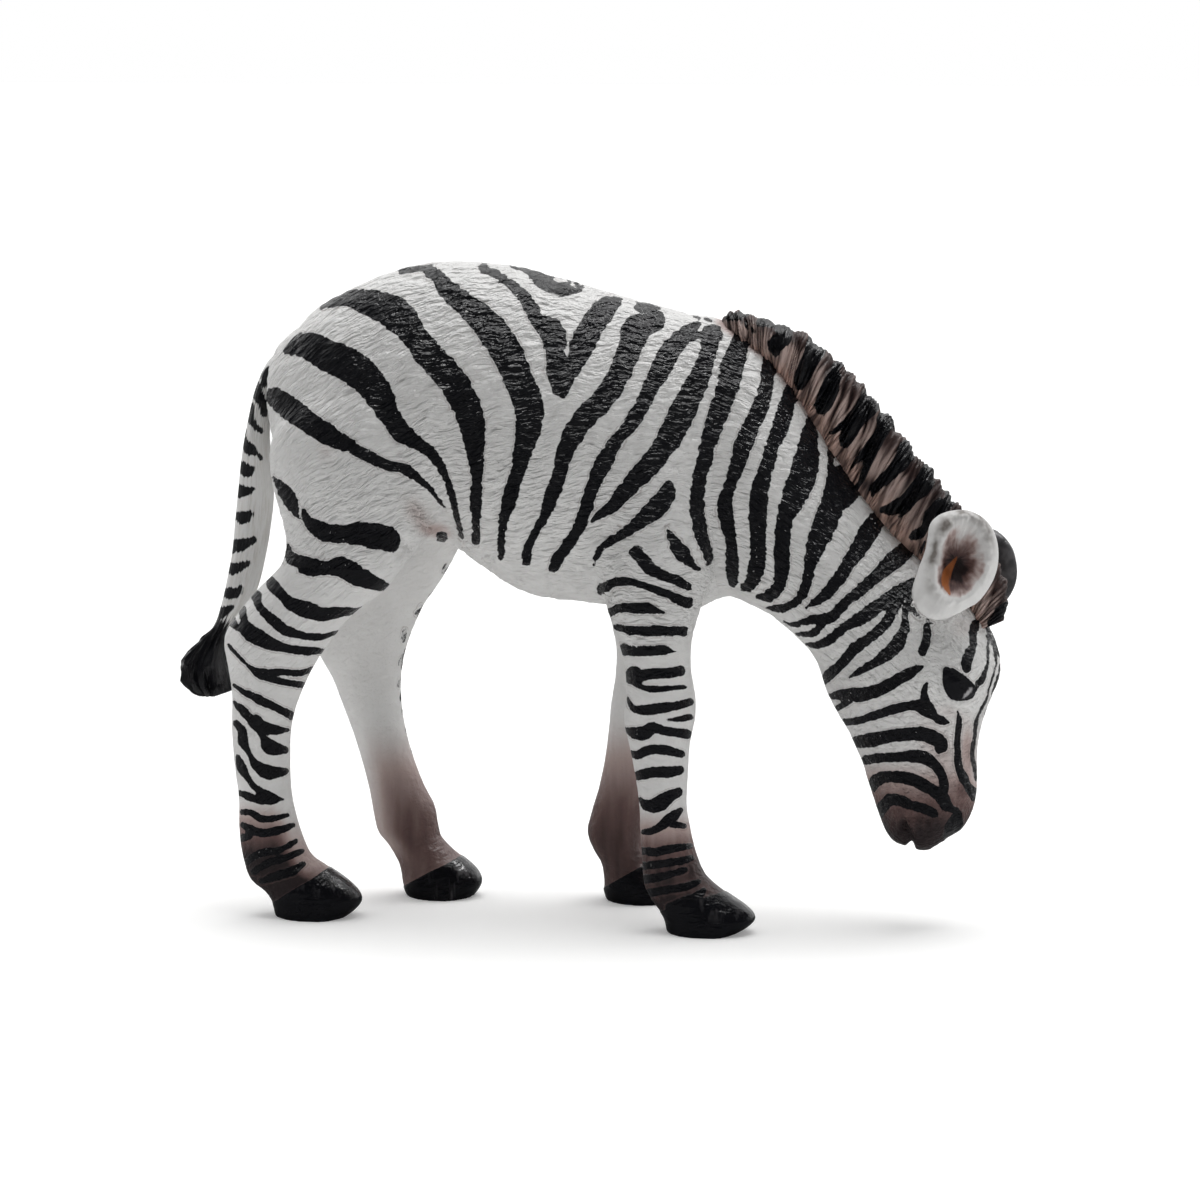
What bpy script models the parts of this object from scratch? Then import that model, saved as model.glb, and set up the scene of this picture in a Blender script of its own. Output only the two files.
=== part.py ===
# Toy zebra foal with its head down to graze: a solid PVC figure, glued together from its mouldings.
# Metres, +Z up. The origin is on the ground under the middle of the figure. The nose points to +X,
# and the figure's left side is at +Y. Every piece is a loft: a skin over oval sections.
import math

import bmesh
import bpy
import numpy as np
from mathutils import Matrix, Vector

# Driving sizes of the torso
torso_length = 0.0464
torso_depth = 0.0355
torso_width = 0.0224
belly_height = 0.0303
torso_rear_share = -0.716

# Driving sizes of the neck and head
neck_reach = 0.0281
neck_drop = 0.0522
head_width = 0.0136
eye_radius = 0.0019
nostril_radius = 0.0009
head_turn = math.radians(9.0)
head_pivot_share = 0.60

# Driving sizes of the legs
hindleg_span = 0.0184
hindleg_width = 0.0104
foreleg_span = 0.0114
foreleg_width = 0.0088
hip_spread = 0.0066
shoulder_spread = 0.0063
right_hind_stance = 0.0055
left_hind_stance = 0.0063
right_fore_stance = 0.0071
left_fore_stance = 0.0073

# Driving sizes of the mane, the ears and the tail
mane_start = 0.0012
mane_height = 0.0065
mane_thickness = 0.0040
mane_keel = 0.0012
ear_height = 0.0106
ear_width = 0.0074
ear_depth = 0.0036
ear_root = 0.0014
tail_length = 0.0353
tail_reach = 0.0110
tail_width = 0.0036

# Fits: how the glued pieces plug together
clearance = 0.0003
leg_peg_radius = 0.0017
leg_peg_length = 0.0042
neck_plug_length = 0.0050
neck_plug_share = 0.55
cut_overrun = 0.0010

# How finely the skins are drawn
body_sides = 24
leg_sides = 16
small_sides = 12
steps_between_rows = 2
lock_count = 13
lock_relief_share = 0.10

# Sections of the torso from rump to withers. Each row: place along the torso and height above the
# belly line of its back point, the same of its belly point, and its half width.
torso_shares = (
    (0.018, 0.700, 0.010, 0.610, 0.055),
    (0.026, 0.740, 0.012, 0.560, 0.140),
    (0.048, 0.775, 0.026, 0.480, 0.220),
    (0.076, 0.803, 0.048, 0.390, 0.285),
    (0.120, 0.860, 0.105, 0.290, 0.360),
    (0.180, 0.905, 0.175, 0.215, 0.430),
    (0.255, 0.950, 0.260, 0.200, 0.465),
    (0.330, 0.980, 0.340, 0.205, 0.480),
    (0.410, 0.993, 0.410, 0.195, 0.480),
    (0.485, 0.990, 0.485, 0.135, 0.490),
    (0.560, 0.978, 0.560, 0.075, 0.500),
    (0.635, 0.953, 0.635, 0.050, 0.500),
    (0.710, 0.927, 0.710, 0.040, 0.485),
    (0.790, 0.897, 0.790, 0.030, 0.460),
    (0.865, 0.873, 0.865, 0.022, 0.435),
    (0.930, 0.852, 0.935, 0.020, 0.400),
    (1.000, 0.834, 1.005, 0.066, 0.335),
)
torso_egg_share = -0.06

# Sections of the neck and head, after the torso's last one. Each row: reach from the withers and drop
# below them of its crest or forehead point, the same of its throat or jaw point, its half width, and
# how much wider it is at the forehead than at the jaw.
neck_shares = (
    (0.145, 0.055, 0.055, 0.525, 0.565, -0.14),
    (0.260, 0.130, 0.115, 0.540, 0.530, -0.20),
    (0.360, 0.215, 0.175, 0.555, 0.500, -0.22),
    (0.455, 0.290, 0.230, 0.580, 0.480, -0.22),
    (0.545, 0.355, 0.285, 0.605, 0.465, -0.20),
    (0.630, 0.405, 0.330, 0.635, 0.450, -0.14),
    (0.730, 0.450, 0.350, 0.660, 0.455, -0.05),
    (0.845, 0.505, 0.365, 0.690, 0.480, 0.05),
    (0.925, 0.555, 0.385, 0.715, 0.500, 0.15),
    (0.975, 0.610, 0.415, 0.745, 0.500, 0.22),
    (0.985, 0.660, 0.450, 0.775, 0.455, 0.20),
    (0.955, 0.705, 0.480, 0.810, 0.405, 0.12),
    (0.925, 0.755, 0.505, 0.840, 0.370, 0.02),
    (0.910, 0.805, 0.525, 0.875, 0.345, 0.00),
    (0.910, 0.855, 0.545, 0.905, 0.340, 0.00),
    (0.905, 0.900, 0.565, 0.935, 0.340, 0.00),
    (0.880, 0.940, 0.590, 0.965, 0.325, 0.00),
    (0.830, 0.970, 0.630, 0.985, 0.255, 0.00),
    (0.770, 0.990, 0.690, 0.995, 0.120, 0.00),
)
eye_shares = (0.855, 0.662, 0.420)
nostril_shares = (0.835, 0.935, 0.270)

# Sections of the legs from inside the torso down to the sole. Each row: place along the leg's span and
# height of its back point, the same of its front point, and its half width.
right_hind_shares = (
    (-0.320, 1.720, 0.370, 1.750, 0.350),
    (-0.470, 1.620, 0.470, 1.610, 0.460),
    (-0.500, 1.505, 0.500, 1.470, 0.500),
    (-0.460, 1.385, 0.440, 1.340, 0.480),
    (-0.410, 1.275, 0.330, 1.250, 0.450),
    (-0.425, 1.190, 0.240, 1.180, 0.425),
    (-0.545, 1.115, 0.130, 1.095, 0.405),
    (-0.685, 1.015, -0.040, 1.020, 0.385),
    (-0.760, 0.930, -0.165, 0.930, 0.355),
    (-0.740, 0.840, -0.265, 0.845, 0.325),
    (-0.720, 0.745, -0.350, 0.740, 0.300),
    (-0.725, 0.635, -0.400, 0.635, 0.275),
    (-0.715, 0.515, -0.410, 0.520, 0.260),
    (-0.695, 0.400, -0.405, 0.410, 0.255),
    (-0.695, 0.295, -0.375, 0.320, 0.270),
    (-0.680, 0.205, -0.335, 0.245, 0.285),
    (-0.630, 0.120, -0.295, 0.200, 0.280),
    (-0.550, 0.075, -0.215, 0.165, 0.290),
    (-0.510, 0.035, -0.120, 0.110, 0.320),
    (-0.500, 0.000, -0.060, 0.000, 0.335),
)
left_hind_shares = (
    (-0.440, 1.675, 0.295, 1.710, 0.350),
    (-0.500, 1.575, 0.395, 1.550, 0.460),
    (-0.500, 1.440, 0.450, 1.390, 0.500),
    (-0.445, 1.295, 0.450, 1.275, 0.480),
    (-0.380, 1.170, 0.390, 1.170, 0.450),
    (-0.335, 1.065, 0.300, 1.075, 0.425),
    (-0.360, 0.980, 0.200, 0.990, 0.405),
    (-0.410, 0.895, 0.120, 0.885, 0.385),
    (-0.395, 0.825, 0.085, 0.815, 0.355),
    (-0.320, 0.745, 0.065, 0.730, 0.325),
    (-0.265, 0.660, 0.070, 0.645, 0.300),
    (-0.200, 0.555, 0.095, 0.555, 0.275),
    (-0.150, 0.455, 0.140, 0.460, 0.260),
    (-0.110, 0.360, 0.195, 0.375, 0.255),
    (-0.085, 0.275, 0.255, 0.305, 0.270),
    (-0.060, 0.215, 0.275, 0.240, 0.285),
    (0.000, 0.170, 0.295, 0.195, 0.280),
    (0.060, 0.105, 0.355, 0.155, 0.290),
    (0.080, 0.040, 0.435, 0.100, 0.320),
    (0.105, 0.000, 0.500, 0.000, 0.335),
)
right_fore_shares = (
    (-0.380, 1.570, 0.380, 1.570, 0.340),
    (-0.465, 1.390, 0.490, 1.380, 0.455),
    (-0.500, 1.245, 0.510, 1.235, 0.500),
    (-0.475, 1.125, 0.440, 1.115, 0.490),
    (-0.420, 1.045, 0.370, 1.040, 0.465),
    (-0.335, 0.955, 0.320, 0.960, 0.430),
    (-0.270, 0.865, 0.305, 0.870, 0.400),
    (-0.260, 0.775, 0.350, 0.780, 0.400),
    (-0.280, 0.700, 0.350, 0.705, 0.385),
    (-0.225, 0.610, 0.300, 0.615, 0.345),
    (-0.170, 0.510, 0.285, 0.515, 0.310),
    (-0.135, 0.415, 0.275, 0.420, 0.300),
    (-0.125, 0.330, 0.305, 0.345, 0.320),
    (-0.110, 0.250, 0.355, 0.265, 0.335),
    (-0.090, 0.165, 0.425, 0.200, 0.335),
    (-0.025, 0.105, 0.515, 0.160, 0.340),
    (0.085, 0.050, 0.800, 0.060, 0.385),
    (0.120, 0.000, 0.815, 0.000, 0.390),
)
left_fore_shares = (
    (-0.490, 1.530, 0.270, 1.525, 0.340),
    (-0.580, 1.340, 0.370, 1.325, 0.455),
    (-0.615, 1.190, 0.370, 1.175, 0.500),
    (-0.620, 1.065, 0.300, 1.055, 0.490),
    (-0.580, 0.970, 0.210, 0.965, 0.465),
    (-0.520, 0.870, 0.140, 0.875, 0.430),
    (-0.530, 0.765, 0.085, 0.780, 0.400),
    (-0.565, 0.680, 0.065, 0.695, 0.400),
    (-0.585, 0.595, 0.020, 0.605, 0.385),
    (-0.620, 0.490, -0.095, 0.505, 0.345),
    (-0.675, 0.390, -0.205, 0.400, 0.310),
    (-0.750, 0.295, -0.260, 0.315, 0.300),
    (-0.785, 0.230, -0.285, 0.245, 0.320),
    (-0.735, 0.175, -0.280, 0.195, 0.335),
    (-0.660, 0.125, -0.205, 0.150, 0.335),
    (-0.635, 0.065, -0.095, 0.120, 0.350),
    (-0.635, 0.035, 0.020, 0.070, 0.385),
    (-0.610, 0.000, 0.050, 0.000, 0.390),
)
hind_station_share = 0.238
fore_station_share = 0.875

mane_egg_share = -0.10
# Locks of the mane along the neck's crest. Each row: reach from the mane's start and drop below the withers
# of the lock's root, how far it leans forward and up as shares of the mane's height, and its half thickness.
mane_shares = (
    (0.000, 0.020, 0.00, 0.20, 0.25),
    (0.023, 0.030, 0.03, 0.38, 0.42),
    (0.065, 0.047, 0.09, 0.44, 0.48),
    (0.126, 0.069, 0.20, 0.49, 0.50),
    (0.188, 0.108, 0.32, 0.65, 0.50),
    (0.241, 0.146, 0.48, 0.63, 0.50),
    (0.293, 0.187, 0.61, 0.67, 0.50),
    (0.348, 0.232, 0.63, 0.73, 0.50),
    (0.412, 0.281, 0.64, 0.80, 0.50),
    (0.479, 0.328, 0.66, 0.80, 0.50),
    (0.553, 0.371, 0.66, 0.82, 0.50),
    (0.634, 0.414, 0.59, 0.82, 0.48),
    (0.719, 0.455, 0.50, 0.84, 0.46),
    (0.797, 0.490, 0.45, 0.77, 0.44),
    (0.860, 0.520, 0.50, 0.56, 0.42),
    (0.908, 0.548, 0.44, 0.33, 0.38),
    (0.934, 0.569, 0.30, 0.13, 0.25),
)

# Ears: reach and drop of the root, its place across the head, and the ear's lean in degrees.
right_ear_shares = (0.850, 0.520, -0.430)
left_ear_shares = (0.870, 0.545, 0.450)
right_ear_lean = (math.radians(11.0), math.radians(-14.0), math.radians(-62.0))
left_ear_lean = (math.radians(14.0), math.radians(20.0), math.radians(78.0))
# Each row: place along the ear from root to tip, half width, half depth.
ear_shares = (
    (0.00, 0.300, 0.380),
    (0.12, 0.370, 0.460),
    (0.30, 0.465, 0.500),
    (0.50, 0.500, 0.480),
    (0.68, 0.465, 0.420),
    (0.83, 0.360, 0.330),
    (0.94, 0.200, 0.210),
    (1.00, 0.050, 0.060),
)
# The hollow: place of its middle along the ear and in front of it, its half length, half width, half depth.
hollow_shares = (0.53, 0.62, 0.37, 0.36, 0.78)

# Sections of the tail from its root on the rump down to the tuft's end. Each row: place behind the root
# and drop of its back point, the same of its front point, and its half width.
tail_place_shares = (0.058, 0.752)
tail_shares = (
    (0.056, 0.000, 0.148, 0.048, 0.400),
    (-0.188, 0.035, -0.031, 0.078, 0.500),
    (-0.332, 0.119, -0.164, 0.147, 0.475),
    (-0.420, 0.229, -0.214, 0.246, 0.445),
    (-0.481, 0.334, -0.199, 0.341, 0.435),
    (-0.512, 0.421, -0.183, 0.428, 0.420),
    (-0.544, 0.508, -0.214, 0.515, 0.410),
    (-0.575, 0.596, -0.265, 0.606, 0.395),
    (-0.626, 0.675, -0.334, 0.691, 0.370),
    (-0.686, 0.749, -0.450, 0.765, 0.340),
    (-0.754, 0.808, -0.584, 0.824, 0.350),
    (-0.899, 0.856, -0.615, 0.868, 0.560),
    (-1.044, 0.913, -0.607, 0.924, 0.660),
    (-1.046, 0.969, -0.609, 0.977, 0.640),
    (-0.981, 1.009, -0.639, 1.007, 0.480),
    (-0.896, 1.026, -0.744, 1.025, 0.237),
)

# Reference places that the tables follow
torso_rear_x = torso_length * torso_rear_share
withers_x = torso_rear_x + torso_length * torso_shares[-1][0]
withers_z = belly_height + torso_depth * torso_shares[-1][1]
head_pivot_x = withers_x + neck_reach * head_pivot_share

white_paint = (0.80, 0.78, 0.76)
black_paint = (0.020, 0.018, 0.022)
brown_paint = (0.30, 0.20, 0.17)


def clear_scene():
    for old in list(bpy.data.objects):
        bpy.data.objects.remove(old, do_unlink=True)


def paint(name, colour, roughness):
    material = bpy.data.materials.new(name)
    material.use_nodes = True
    shader = material.node_tree.nodes["Principled BSDF"]
    shader.inputs["Base Color"].default_value = (*colour, 1.0)
    shader.inputs["Roughness"].default_value = roughness
    shader.inputs["Metallic"].default_value = 0.0
    return material


def smooth_rows(rows, steps=steps_between_rows):
    """A Catmull-Rom curve through every column of the rows."""
    rows = np.asarray(rows, float)
    padded = np.vstack([2 * rows[0] - rows[1], rows, 2 * rows[-1] - rows[-2]])
    curve = []
    for before, start, end, after in zip(padded, padded[1:], padded[2:], padded[3:]):
        for t in np.arange(steps) / steps:
            slope = (end - before) * t
            bend = (2 * before - 5 * start + 4 * end - after) * t**2
            twist = (3 * start - before - 3 * end + after) * t**3
            curve.append(start + (slope + bend + twist) / 2)
    curve.append(rows[-1])
    return np.array(curve)


def oval_rings(rows, sides):
    """Rings of points. A row holds x and z of its first and second point, half width, middle y, egg."""
    rows = np.asarray(rows, float)
    angles = 2 * math.pi * np.arange(sides) / sides
    first, second = rows[:, 0:2], rows[:, 2:4]
    middle = (first + second) / 2
    half = (first - second) / 2
    width, side_y, egg = rows[:, 4:5], rows[:, 5:6], rows[:, 6:7]
    x = middle[:, 0:1] + half[:, 0:1] * np.cos(angles)
    z = middle[:, 1:2] + half[:, 1:2] * np.cos(angles)
    y = side_y + width * np.sin(angles) * (1 + egg * np.cos(angles))
    return np.stack([x, y, z], axis=2)


def loft(name, rings, material):
    """A closed skin over the rings, with a flat cap at each end."""
    count, sides = rings.shape[:2]
    mesh = bpy.data.meshes.new(name)
    shape = bmesh.new()
    points = [[shape.verts.new(point) for point in ring] for ring in rings]
    for lower, upper in zip(points, points[1:]):
        for k in range(sides):
            after = (k + 1) % sides
            shape.faces.new((lower[k], lower[after], upper[after], upper[k]))
    shape.faces.new(points[0])
    shape.faces.new(points[count - 1])
    bmesh.ops.recalc_face_normals(shape, faces=shape.faces)
    shape.to_mesh(mesh)
    shape.free()
    mesh.shade_smooth()
    mesh.set_sharp_from_angle(angle=math.radians(50))
    mesh.materials.append(material)
    piece = bpy.data.objects.new(name, mesh)
    bpy.context.collection.objects.link(piece)
    return piece


def ball(name, centre, radii, turn, material):
    mesh = bpy.data.meshes.new(name)
    shape = bmesh.new()
    bmesh.ops.create_uvsphere(shape, u_segments=small_sides, v_segments=small_sides // 2, radius=1)
    bmesh.ops.transform(shape, matrix=turn.to_4x4() @ Matrix.Diagonal((*radii, 1)), verts=shape.verts)
    bmesh.ops.translate(shape, vec=centre, verts=shape.verts)
    shape.to_mesh(mesh)
    shape.free()
    mesh.shade_smooth()
    mesh.materials.append(material)
    piece = bpy.data.objects.new(name, mesh)
    bpy.context.collection.objects.link(piece)
    return piece


def combine(piece, tool, operation):
    modifier = piece.modifiers.new(tool.name, "BOOLEAN")
    modifier.operation = operation
    modifier.solver = "EXACT"
    modifier.object = tool
    tool.hide_render = True
    tool.display_type = "WIRE"


def seam_directions(rows, seam):
    """In the side view: a section's middle, its unit vector to its first point, and the way back inside."""
    row = np.asarray(rows[seam], float)
    before = np.asarray(rows[seam - 1], float)
    middle = (row[0:2] + row[2:4]) / 2
    outward = row[0:2] - middle
    outward = outward / np.linalg.norm(outward)
    inward = np.array([-outward[1], outward[0]])
    if inward @ ((before[0:2] + before[2:4]) / 2 - middle) < 0:
        inward = -inward
    return middle, outward, inward


def plug_row(rows, seam, half_depth, half_width, offset):
    """A section of the plug that crosses the seam, offset inward from the seam's plane."""
    middle, outward, inward = seam_directions(rows, seam)
    centre = middle + inward * offset
    first = centre + outward * half_depth
    second = centre - outward * half_depth
    return [*first, *second, half_width, rows[seam][5], 0.0]


def piece_below_seam(rows, seam, half_depth, half_width, length):
    """Plug, flat seam face one clearance below the seam, and the rest of the sections."""
    inward = seam_directions(rows, seam)[2]
    top = np.asarray(rows[seam], float)
    top[0:2] -= inward * clearance
    top[2:4] -= inward * clearance
    end = plug_row(rows, seam, half_depth, half_width, length - clearance)
    start = plug_row(rows, seam, half_depth, half_width, -clearance)
    return [end, start, top, *rows[seam + 1:]]


def socket_rows(rows, seam, half_depth, half_width, length):
    """The plug's hole, one clearance wider and deeper than the plug, and open at the seam."""
    wide, deep = half_width + clearance, half_depth + clearance
    return [plug_row(rows, seam, deep, wide, length), plug_row(rows, seam, deep, wide, -cut_overrun)]


def bend_neck(points):
    """The neck bends to the figure's right: each point turns about the head's pivot, more the further on."""
    points = np.asarray(points, float)
    t = np.clip((points[..., 0] - withers_x) / neck_reach, 0, 1)
    angle = -head_turn * t * t * (3 - 2 * t)
    x, y = points[..., 0] - head_pivot_x, points[..., 1]
    bent = points.copy()
    bent[..., 0] = head_pivot_x + x * np.cos(angle) - y * np.sin(angle)
    bent[..., 1] = x * np.sin(angle) + y * np.cos(angle)
    return bent


def on_torso(along, up):
    return torso_rear_x + torso_length * along, belly_height + torso_depth * up


def on_neck(reach, drop):
    return withers_x + neck_reach * reach, withers_z - neck_drop * drop


def torso_rows():
    rows = []
    for back_along, back_up, belly_along, belly_up, width in torso_shares:
        back, belly = on_torso(back_along, back_up), on_torso(belly_along, belly_up)
        rows.append([*back, *belly, torso_width * width, 0.0, torso_egg_share])
    return smooth_rows(rows)


def neck_rows():
    rows = [torso_rows()[-1]]
    for crest_reach, crest_drop, throat_reach, throat_drop, width, egg in neck_shares:
        crest, throat = on_neck(crest_reach, crest_drop), on_neck(throat_reach, throat_drop)
        rows.append([*crest, *throat, head_width * width, 0.0, egg])
    return smooth_rows(rows)


def leg_rows(shares, station_share, span, width, spread, stance, side):
    """Sections of one leg. It leans sideways from its spread at the belly to its stance on the ground."""
    station_x = on_torso(station_share, 0.0)[0]
    rows = []
    for back_along, back_up, front_along, front_up, half_width in shares:
        up = min(1.0, (back_up + front_up) / 2)
        middle_y = side * (stance + (spread - stance) * up)
        back = (station_x + span * back_along, belly_height * back_up)
        front = (station_x + span * front_along, belly_height * front_up)
        rows.append([*back, *front, width * half_width, middle_y, 0.0])
    return rows


def make_leg(name, rows, seam, torso, material):
    """The leg below its seam, and its upper part as a stub that joins the torso, with the peg's socket."""
    fit = (leg_peg_radius, leg_peg_radius, leg_peg_length)
    below = piece_below_seam(rows, seam, *fit)
    rings = np.vstack([oval_rings(below[:2], leg_sides), oval_rings(smooth_rows(below[2:]), leg_sides)])
    leg = loft(name, rings, material)
    stub = loft(name + "_stub", oval_rings(smooth_rows(rows[:seam + 1]), leg_sides), material)
    socket = loft(name + "_socket", oval_rings(socket_rows(rows, seam, *fit), leg_sides), material)
    combine(torso, stub, "UNION")
    return leg, socket


def mane_rings(extra):
    """Upright sections of hair along the crest, with locks in their height, all larger by the extra."""
    rows = []
    for reach, drop, forward, up, width in mane_shares:
        along = (mane_start + (neck_reach - mane_start) * reach) / neck_reach
        root = np.array(on_neck(along, drop))
        lean = np.array([forward, up]) * mane_height
        keel = lean / np.linalg.norm(lean) * mane_keel
        rows.append([*(root + lean), *(root - keel), mane_thickness * width, 0.0, mane_egg_share])
    rows = smooth_rows(rows, steps_between_rows + 1)
    t = np.linspace(0, 1, len(rows))
    lock = lock_relief_share * np.abs(np.cos(math.pi * lock_count * t))
    rows[:, 0:2] -= (rows[:, 0:2] - rows[:, 2:4]) * lock[:, None]
    grow = rows[:, 0:2] - rows[:, 2:4]
    grow *= extra / np.linalg.norm(grow, axis=1, keepdims=True)
    rows[:, 0:2] += grow
    rows[:, 2:4] -= grow
    rows[:, 4] += extra
    for end, inside in ((0, 1), (-1, -2)):
        step = rows[end, 0:4] - rows[inside, 0:4]
        rows[end, 0:4] += step * extra / np.linalg.norm(step[2:4])
    return oval_rings(rows, small_sides)


def ear_placement(place_shares, lean):
    """Where an ear's root sits and how it leans. Its own axes: X out of its hollow, Z to its tip."""
    reach, drop, across = place_shares
    x, z = on_neck(reach, drop)
    forward, outward, turn = lean
    tilt = Matrix.Rotation(forward, 3, "Y") @ Matrix.Rotation(outward, 3, "X") @ Matrix.Rotation(turn, 3, "Z")
    return np.array([x, head_width * across, z]), tilt


def ear_rings(place_shares, lean, extra, first, last):
    """Rings of the ear's outer skin from one height to another, larger by the extra."""
    root, tilt = ear_placement(place_shares, lean)
    along = np.linspace(first, last, 2 * len(ear_shares)) / ear_height
    table = smooth_rows(ear_shares, 4)
    width = ear_width * np.interp(along, table[:, 0], table[:, 1]) + extra
    depth = ear_depth * np.interp(along, table[:, 0], table[:, 2]) + extra
    angles = 2 * math.pi * np.arange(small_sides) / small_sides
    x = depth[:, None] * np.cos(angles)
    y = width[:, None] * np.sin(angles)
    z = np.repeat(along[:, None] * ear_height, small_sides, axis=1)
    return bend_neck(root + np.stack([x, y, z], axis=2) @ np.array(tilt).T)


def make_ear(name, place_shares, lean, head, material):
    """A leaf with a hollow front. Its root sits in a pocket of the head that has the leaf's outline."""
    ear = loft(name, ear_rings(place_shares, lean, 0.0, -ear_root, ear_height), material)
    root, tilt = ear_placement(place_shares, lean)
    middle, front, half_length, half_width, half_depth = hollow_shares
    offset = tilt @ Vector((ear_depth * front, 0.0, ear_height * middle))
    centre = bend_neck(root + np.array(offset))
    radii = (ear_depth * half_depth, ear_width * half_width, ear_height * half_length)
    turned = Matrix.Rotation(-head_turn, 3, "Z") @ tilt
    combine(ear, ball(name + "_hollow", centre, radii, turned, material), "DIFFERENCE")
    pocket = ear_rings(place_shares, lean, clearance, -ear_root - clearance, ear_height / 2)
    combine(head, loft(name + "_pocket", pocket, material), "DIFFERENCE")
    return ear


def tail_rings(extra):
    root_x, root_z = on_torso(*tail_place_shares)
    rows = []
    for back_along, back_drop, front_along, front_drop, width in tail_shares:
        back = (root_x + tail_reach * back_along, root_z - tail_length * back_drop)
        front = (root_x + tail_reach * front_along, root_z - tail_length * front_drop)
        rows.append([*back, *front, tail_width * width, 0.0, 0.0])
    rows = smooth_rows(rows)
    grow = rows[:, 0:2] - rows[:, 2:4]
    grow *= extra / np.linalg.norm(grow, axis=1, keepdims=True)
    rows[:, 0:2] += grow
    rows[:, 2:4] -= grow
    rows[:, 4] += extra
    middle = (rows[:, 0:2] + rows[:, 2:4]) / 2
    for end, inside in ((0, 1), (-1, -2)):
        step = middle[end] - middle[inside]
        step *= extra / np.linalg.norm(step)
        rows[end, 0:2] += step
        rows[end, 2:4] += step
    return oval_rings(rows, small_sides)


def make_head(material):
    rows = neck_rows()
    seam_row = rows[0]
    half_depth = np.linalg.norm(seam_row[0:2] - seam_row[2:4]) / 2 * neck_plug_share
    half_width = seam_row[4] * neck_plug_share
    torso = torso_rows()
    seam = len(torso) - 1
    fit = (half_depth, half_width, neck_plug_length)
    sections = piece_below_seam(torso, seam, *fit) + list(rows[1:])
    head = loft("neck_and_head", bend_neck(oval_rings(sections, body_sides)), material)
    socket = loft("neck_socket", oval_rings(socket_rows(torso, seam, *fit), body_sides), material)
    for side in (-1, 1):
        reach, drop, across = eye_shares
        x, z = on_neck(reach, drop)
        centre = bend_neck(np.array([x, side * head_width * across, z]))
        eye = ball("eye", centre, [eye_radius] * 3, Matrix.Identity(3), material)
        combine(head, eye, "UNION")
        reach, drop, across = nostril_shares
        x, z = on_neck(reach, drop)
        centre = bend_neck(np.array([x, side * head_width * across, z]))
        nostril = ball("nostril", centre, [nostril_radius] * 3, Matrix.Identity(3), material)
        combine(head, nostril, "DIFFERENCE")
    return head, socket


def build_zebra():
    clear_scene()
    white = paint("white_paint", white_paint, 0.50)
    black = paint("black_paint", black_paint, 0.32)
    brown = paint("brown_paint", brown_paint, 0.50)

    torso = loft("torso", oval_rings(torso_rows(), body_sides), white)
    hind = (hind_station_share, hindleg_span, hindleg_width, hip_spread)
    fore = (fore_station_share, foreleg_span, foreleg_width, shoulder_spread)
    sockets = []
    for name, shares, seam, build, stance, side in (
        ("right_hindleg", right_hind_shares, 5, hind, right_hind_stance, -1),
        ("left_hindleg", left_hind_shares, 4, hind, left_hind_stance, 1),
        ("right_foreleg", right_fore_shares, 5, fore, right_fore_stance, -1),
        ("left_foreleg", left_fore_shares, 4, fore, left_fore_stance, 1),
    ):
        rows = leg_rows(shares, *build, stance, side)
        sockets.append(make_leg(name, rows, seam, torso, white)[1])

    head, neck_socket = make_head(white)
    for socket in (*sockets, neck_socket):
        combine(torso, socket, "DIFFERENCE")

    loft("mane", bend_neck(mane_rings(0.0)), black)
    combine(head, loft("mane_groove", bend_neck(mane_rings(clearance)), black), "DIFFERENCE")
    make_ear("right_ear", right_ear_shares, right_ear_lean, head, brown)
    make_ear("left_ear", left_ear_shares, left_ear_lean, head, black)
    loft("tail", tail_rings(0.0), white)
    combine(torso, loft("tail_pocket", tail_rings(clearance), white), "DIFFERENCE")


build_zebra()
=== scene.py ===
# Toy zebra foal, grazing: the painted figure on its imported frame.
# Metres, +Z up, the nose to +X, the figure's left side at +Y.
import math

import bmesh
import bpy
import numpy as np
from mathutils import Matrix


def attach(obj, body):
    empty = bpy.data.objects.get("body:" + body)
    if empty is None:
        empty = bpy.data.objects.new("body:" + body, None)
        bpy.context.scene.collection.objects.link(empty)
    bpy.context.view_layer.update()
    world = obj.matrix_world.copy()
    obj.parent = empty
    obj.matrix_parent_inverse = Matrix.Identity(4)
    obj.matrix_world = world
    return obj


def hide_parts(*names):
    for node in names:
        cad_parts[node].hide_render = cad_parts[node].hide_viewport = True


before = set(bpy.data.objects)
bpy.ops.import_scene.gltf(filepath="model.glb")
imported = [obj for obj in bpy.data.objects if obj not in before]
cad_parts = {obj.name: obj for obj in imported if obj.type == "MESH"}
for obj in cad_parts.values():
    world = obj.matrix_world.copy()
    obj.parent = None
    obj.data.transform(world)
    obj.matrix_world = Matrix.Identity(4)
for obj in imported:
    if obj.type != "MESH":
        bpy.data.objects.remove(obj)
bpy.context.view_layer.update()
mm = 0.001
print("frame loaded")

# The photograph's camera. The stripes are brushed on through it, so it comes first.
photo = {
    "azimuth": math.radians(9.0),
    "elevation": math.radians(8.0),
    "distance": 430 * mm,
    "aim": (0.8 * mm, 0.0, 31.9 * mm),
    "lens": 129.0,  # millimetres, on a sensor of this width
    "sensor": 36.0,
    "clip": (0.01, 20.0),
    "pixels": 1200,
}


def addObject(name, data):
    made = bpy.data.objects.new(name, data)
    bpy.context.collection.objects.link(made)
    return made


def cameraAxes():
    # back: from the aim to the camera; right and up span the picture
    a, e = photo["azimuth"], photo["elevation"]
    back = np.array([math.sin(a) * math.cos(e), -math.cos(a) * math.cos(e), math.sin(e)])
    right = np.array([math.cos(a), math.sin(a), 0.0])
    return right, np.cross(back, right), back


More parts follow.
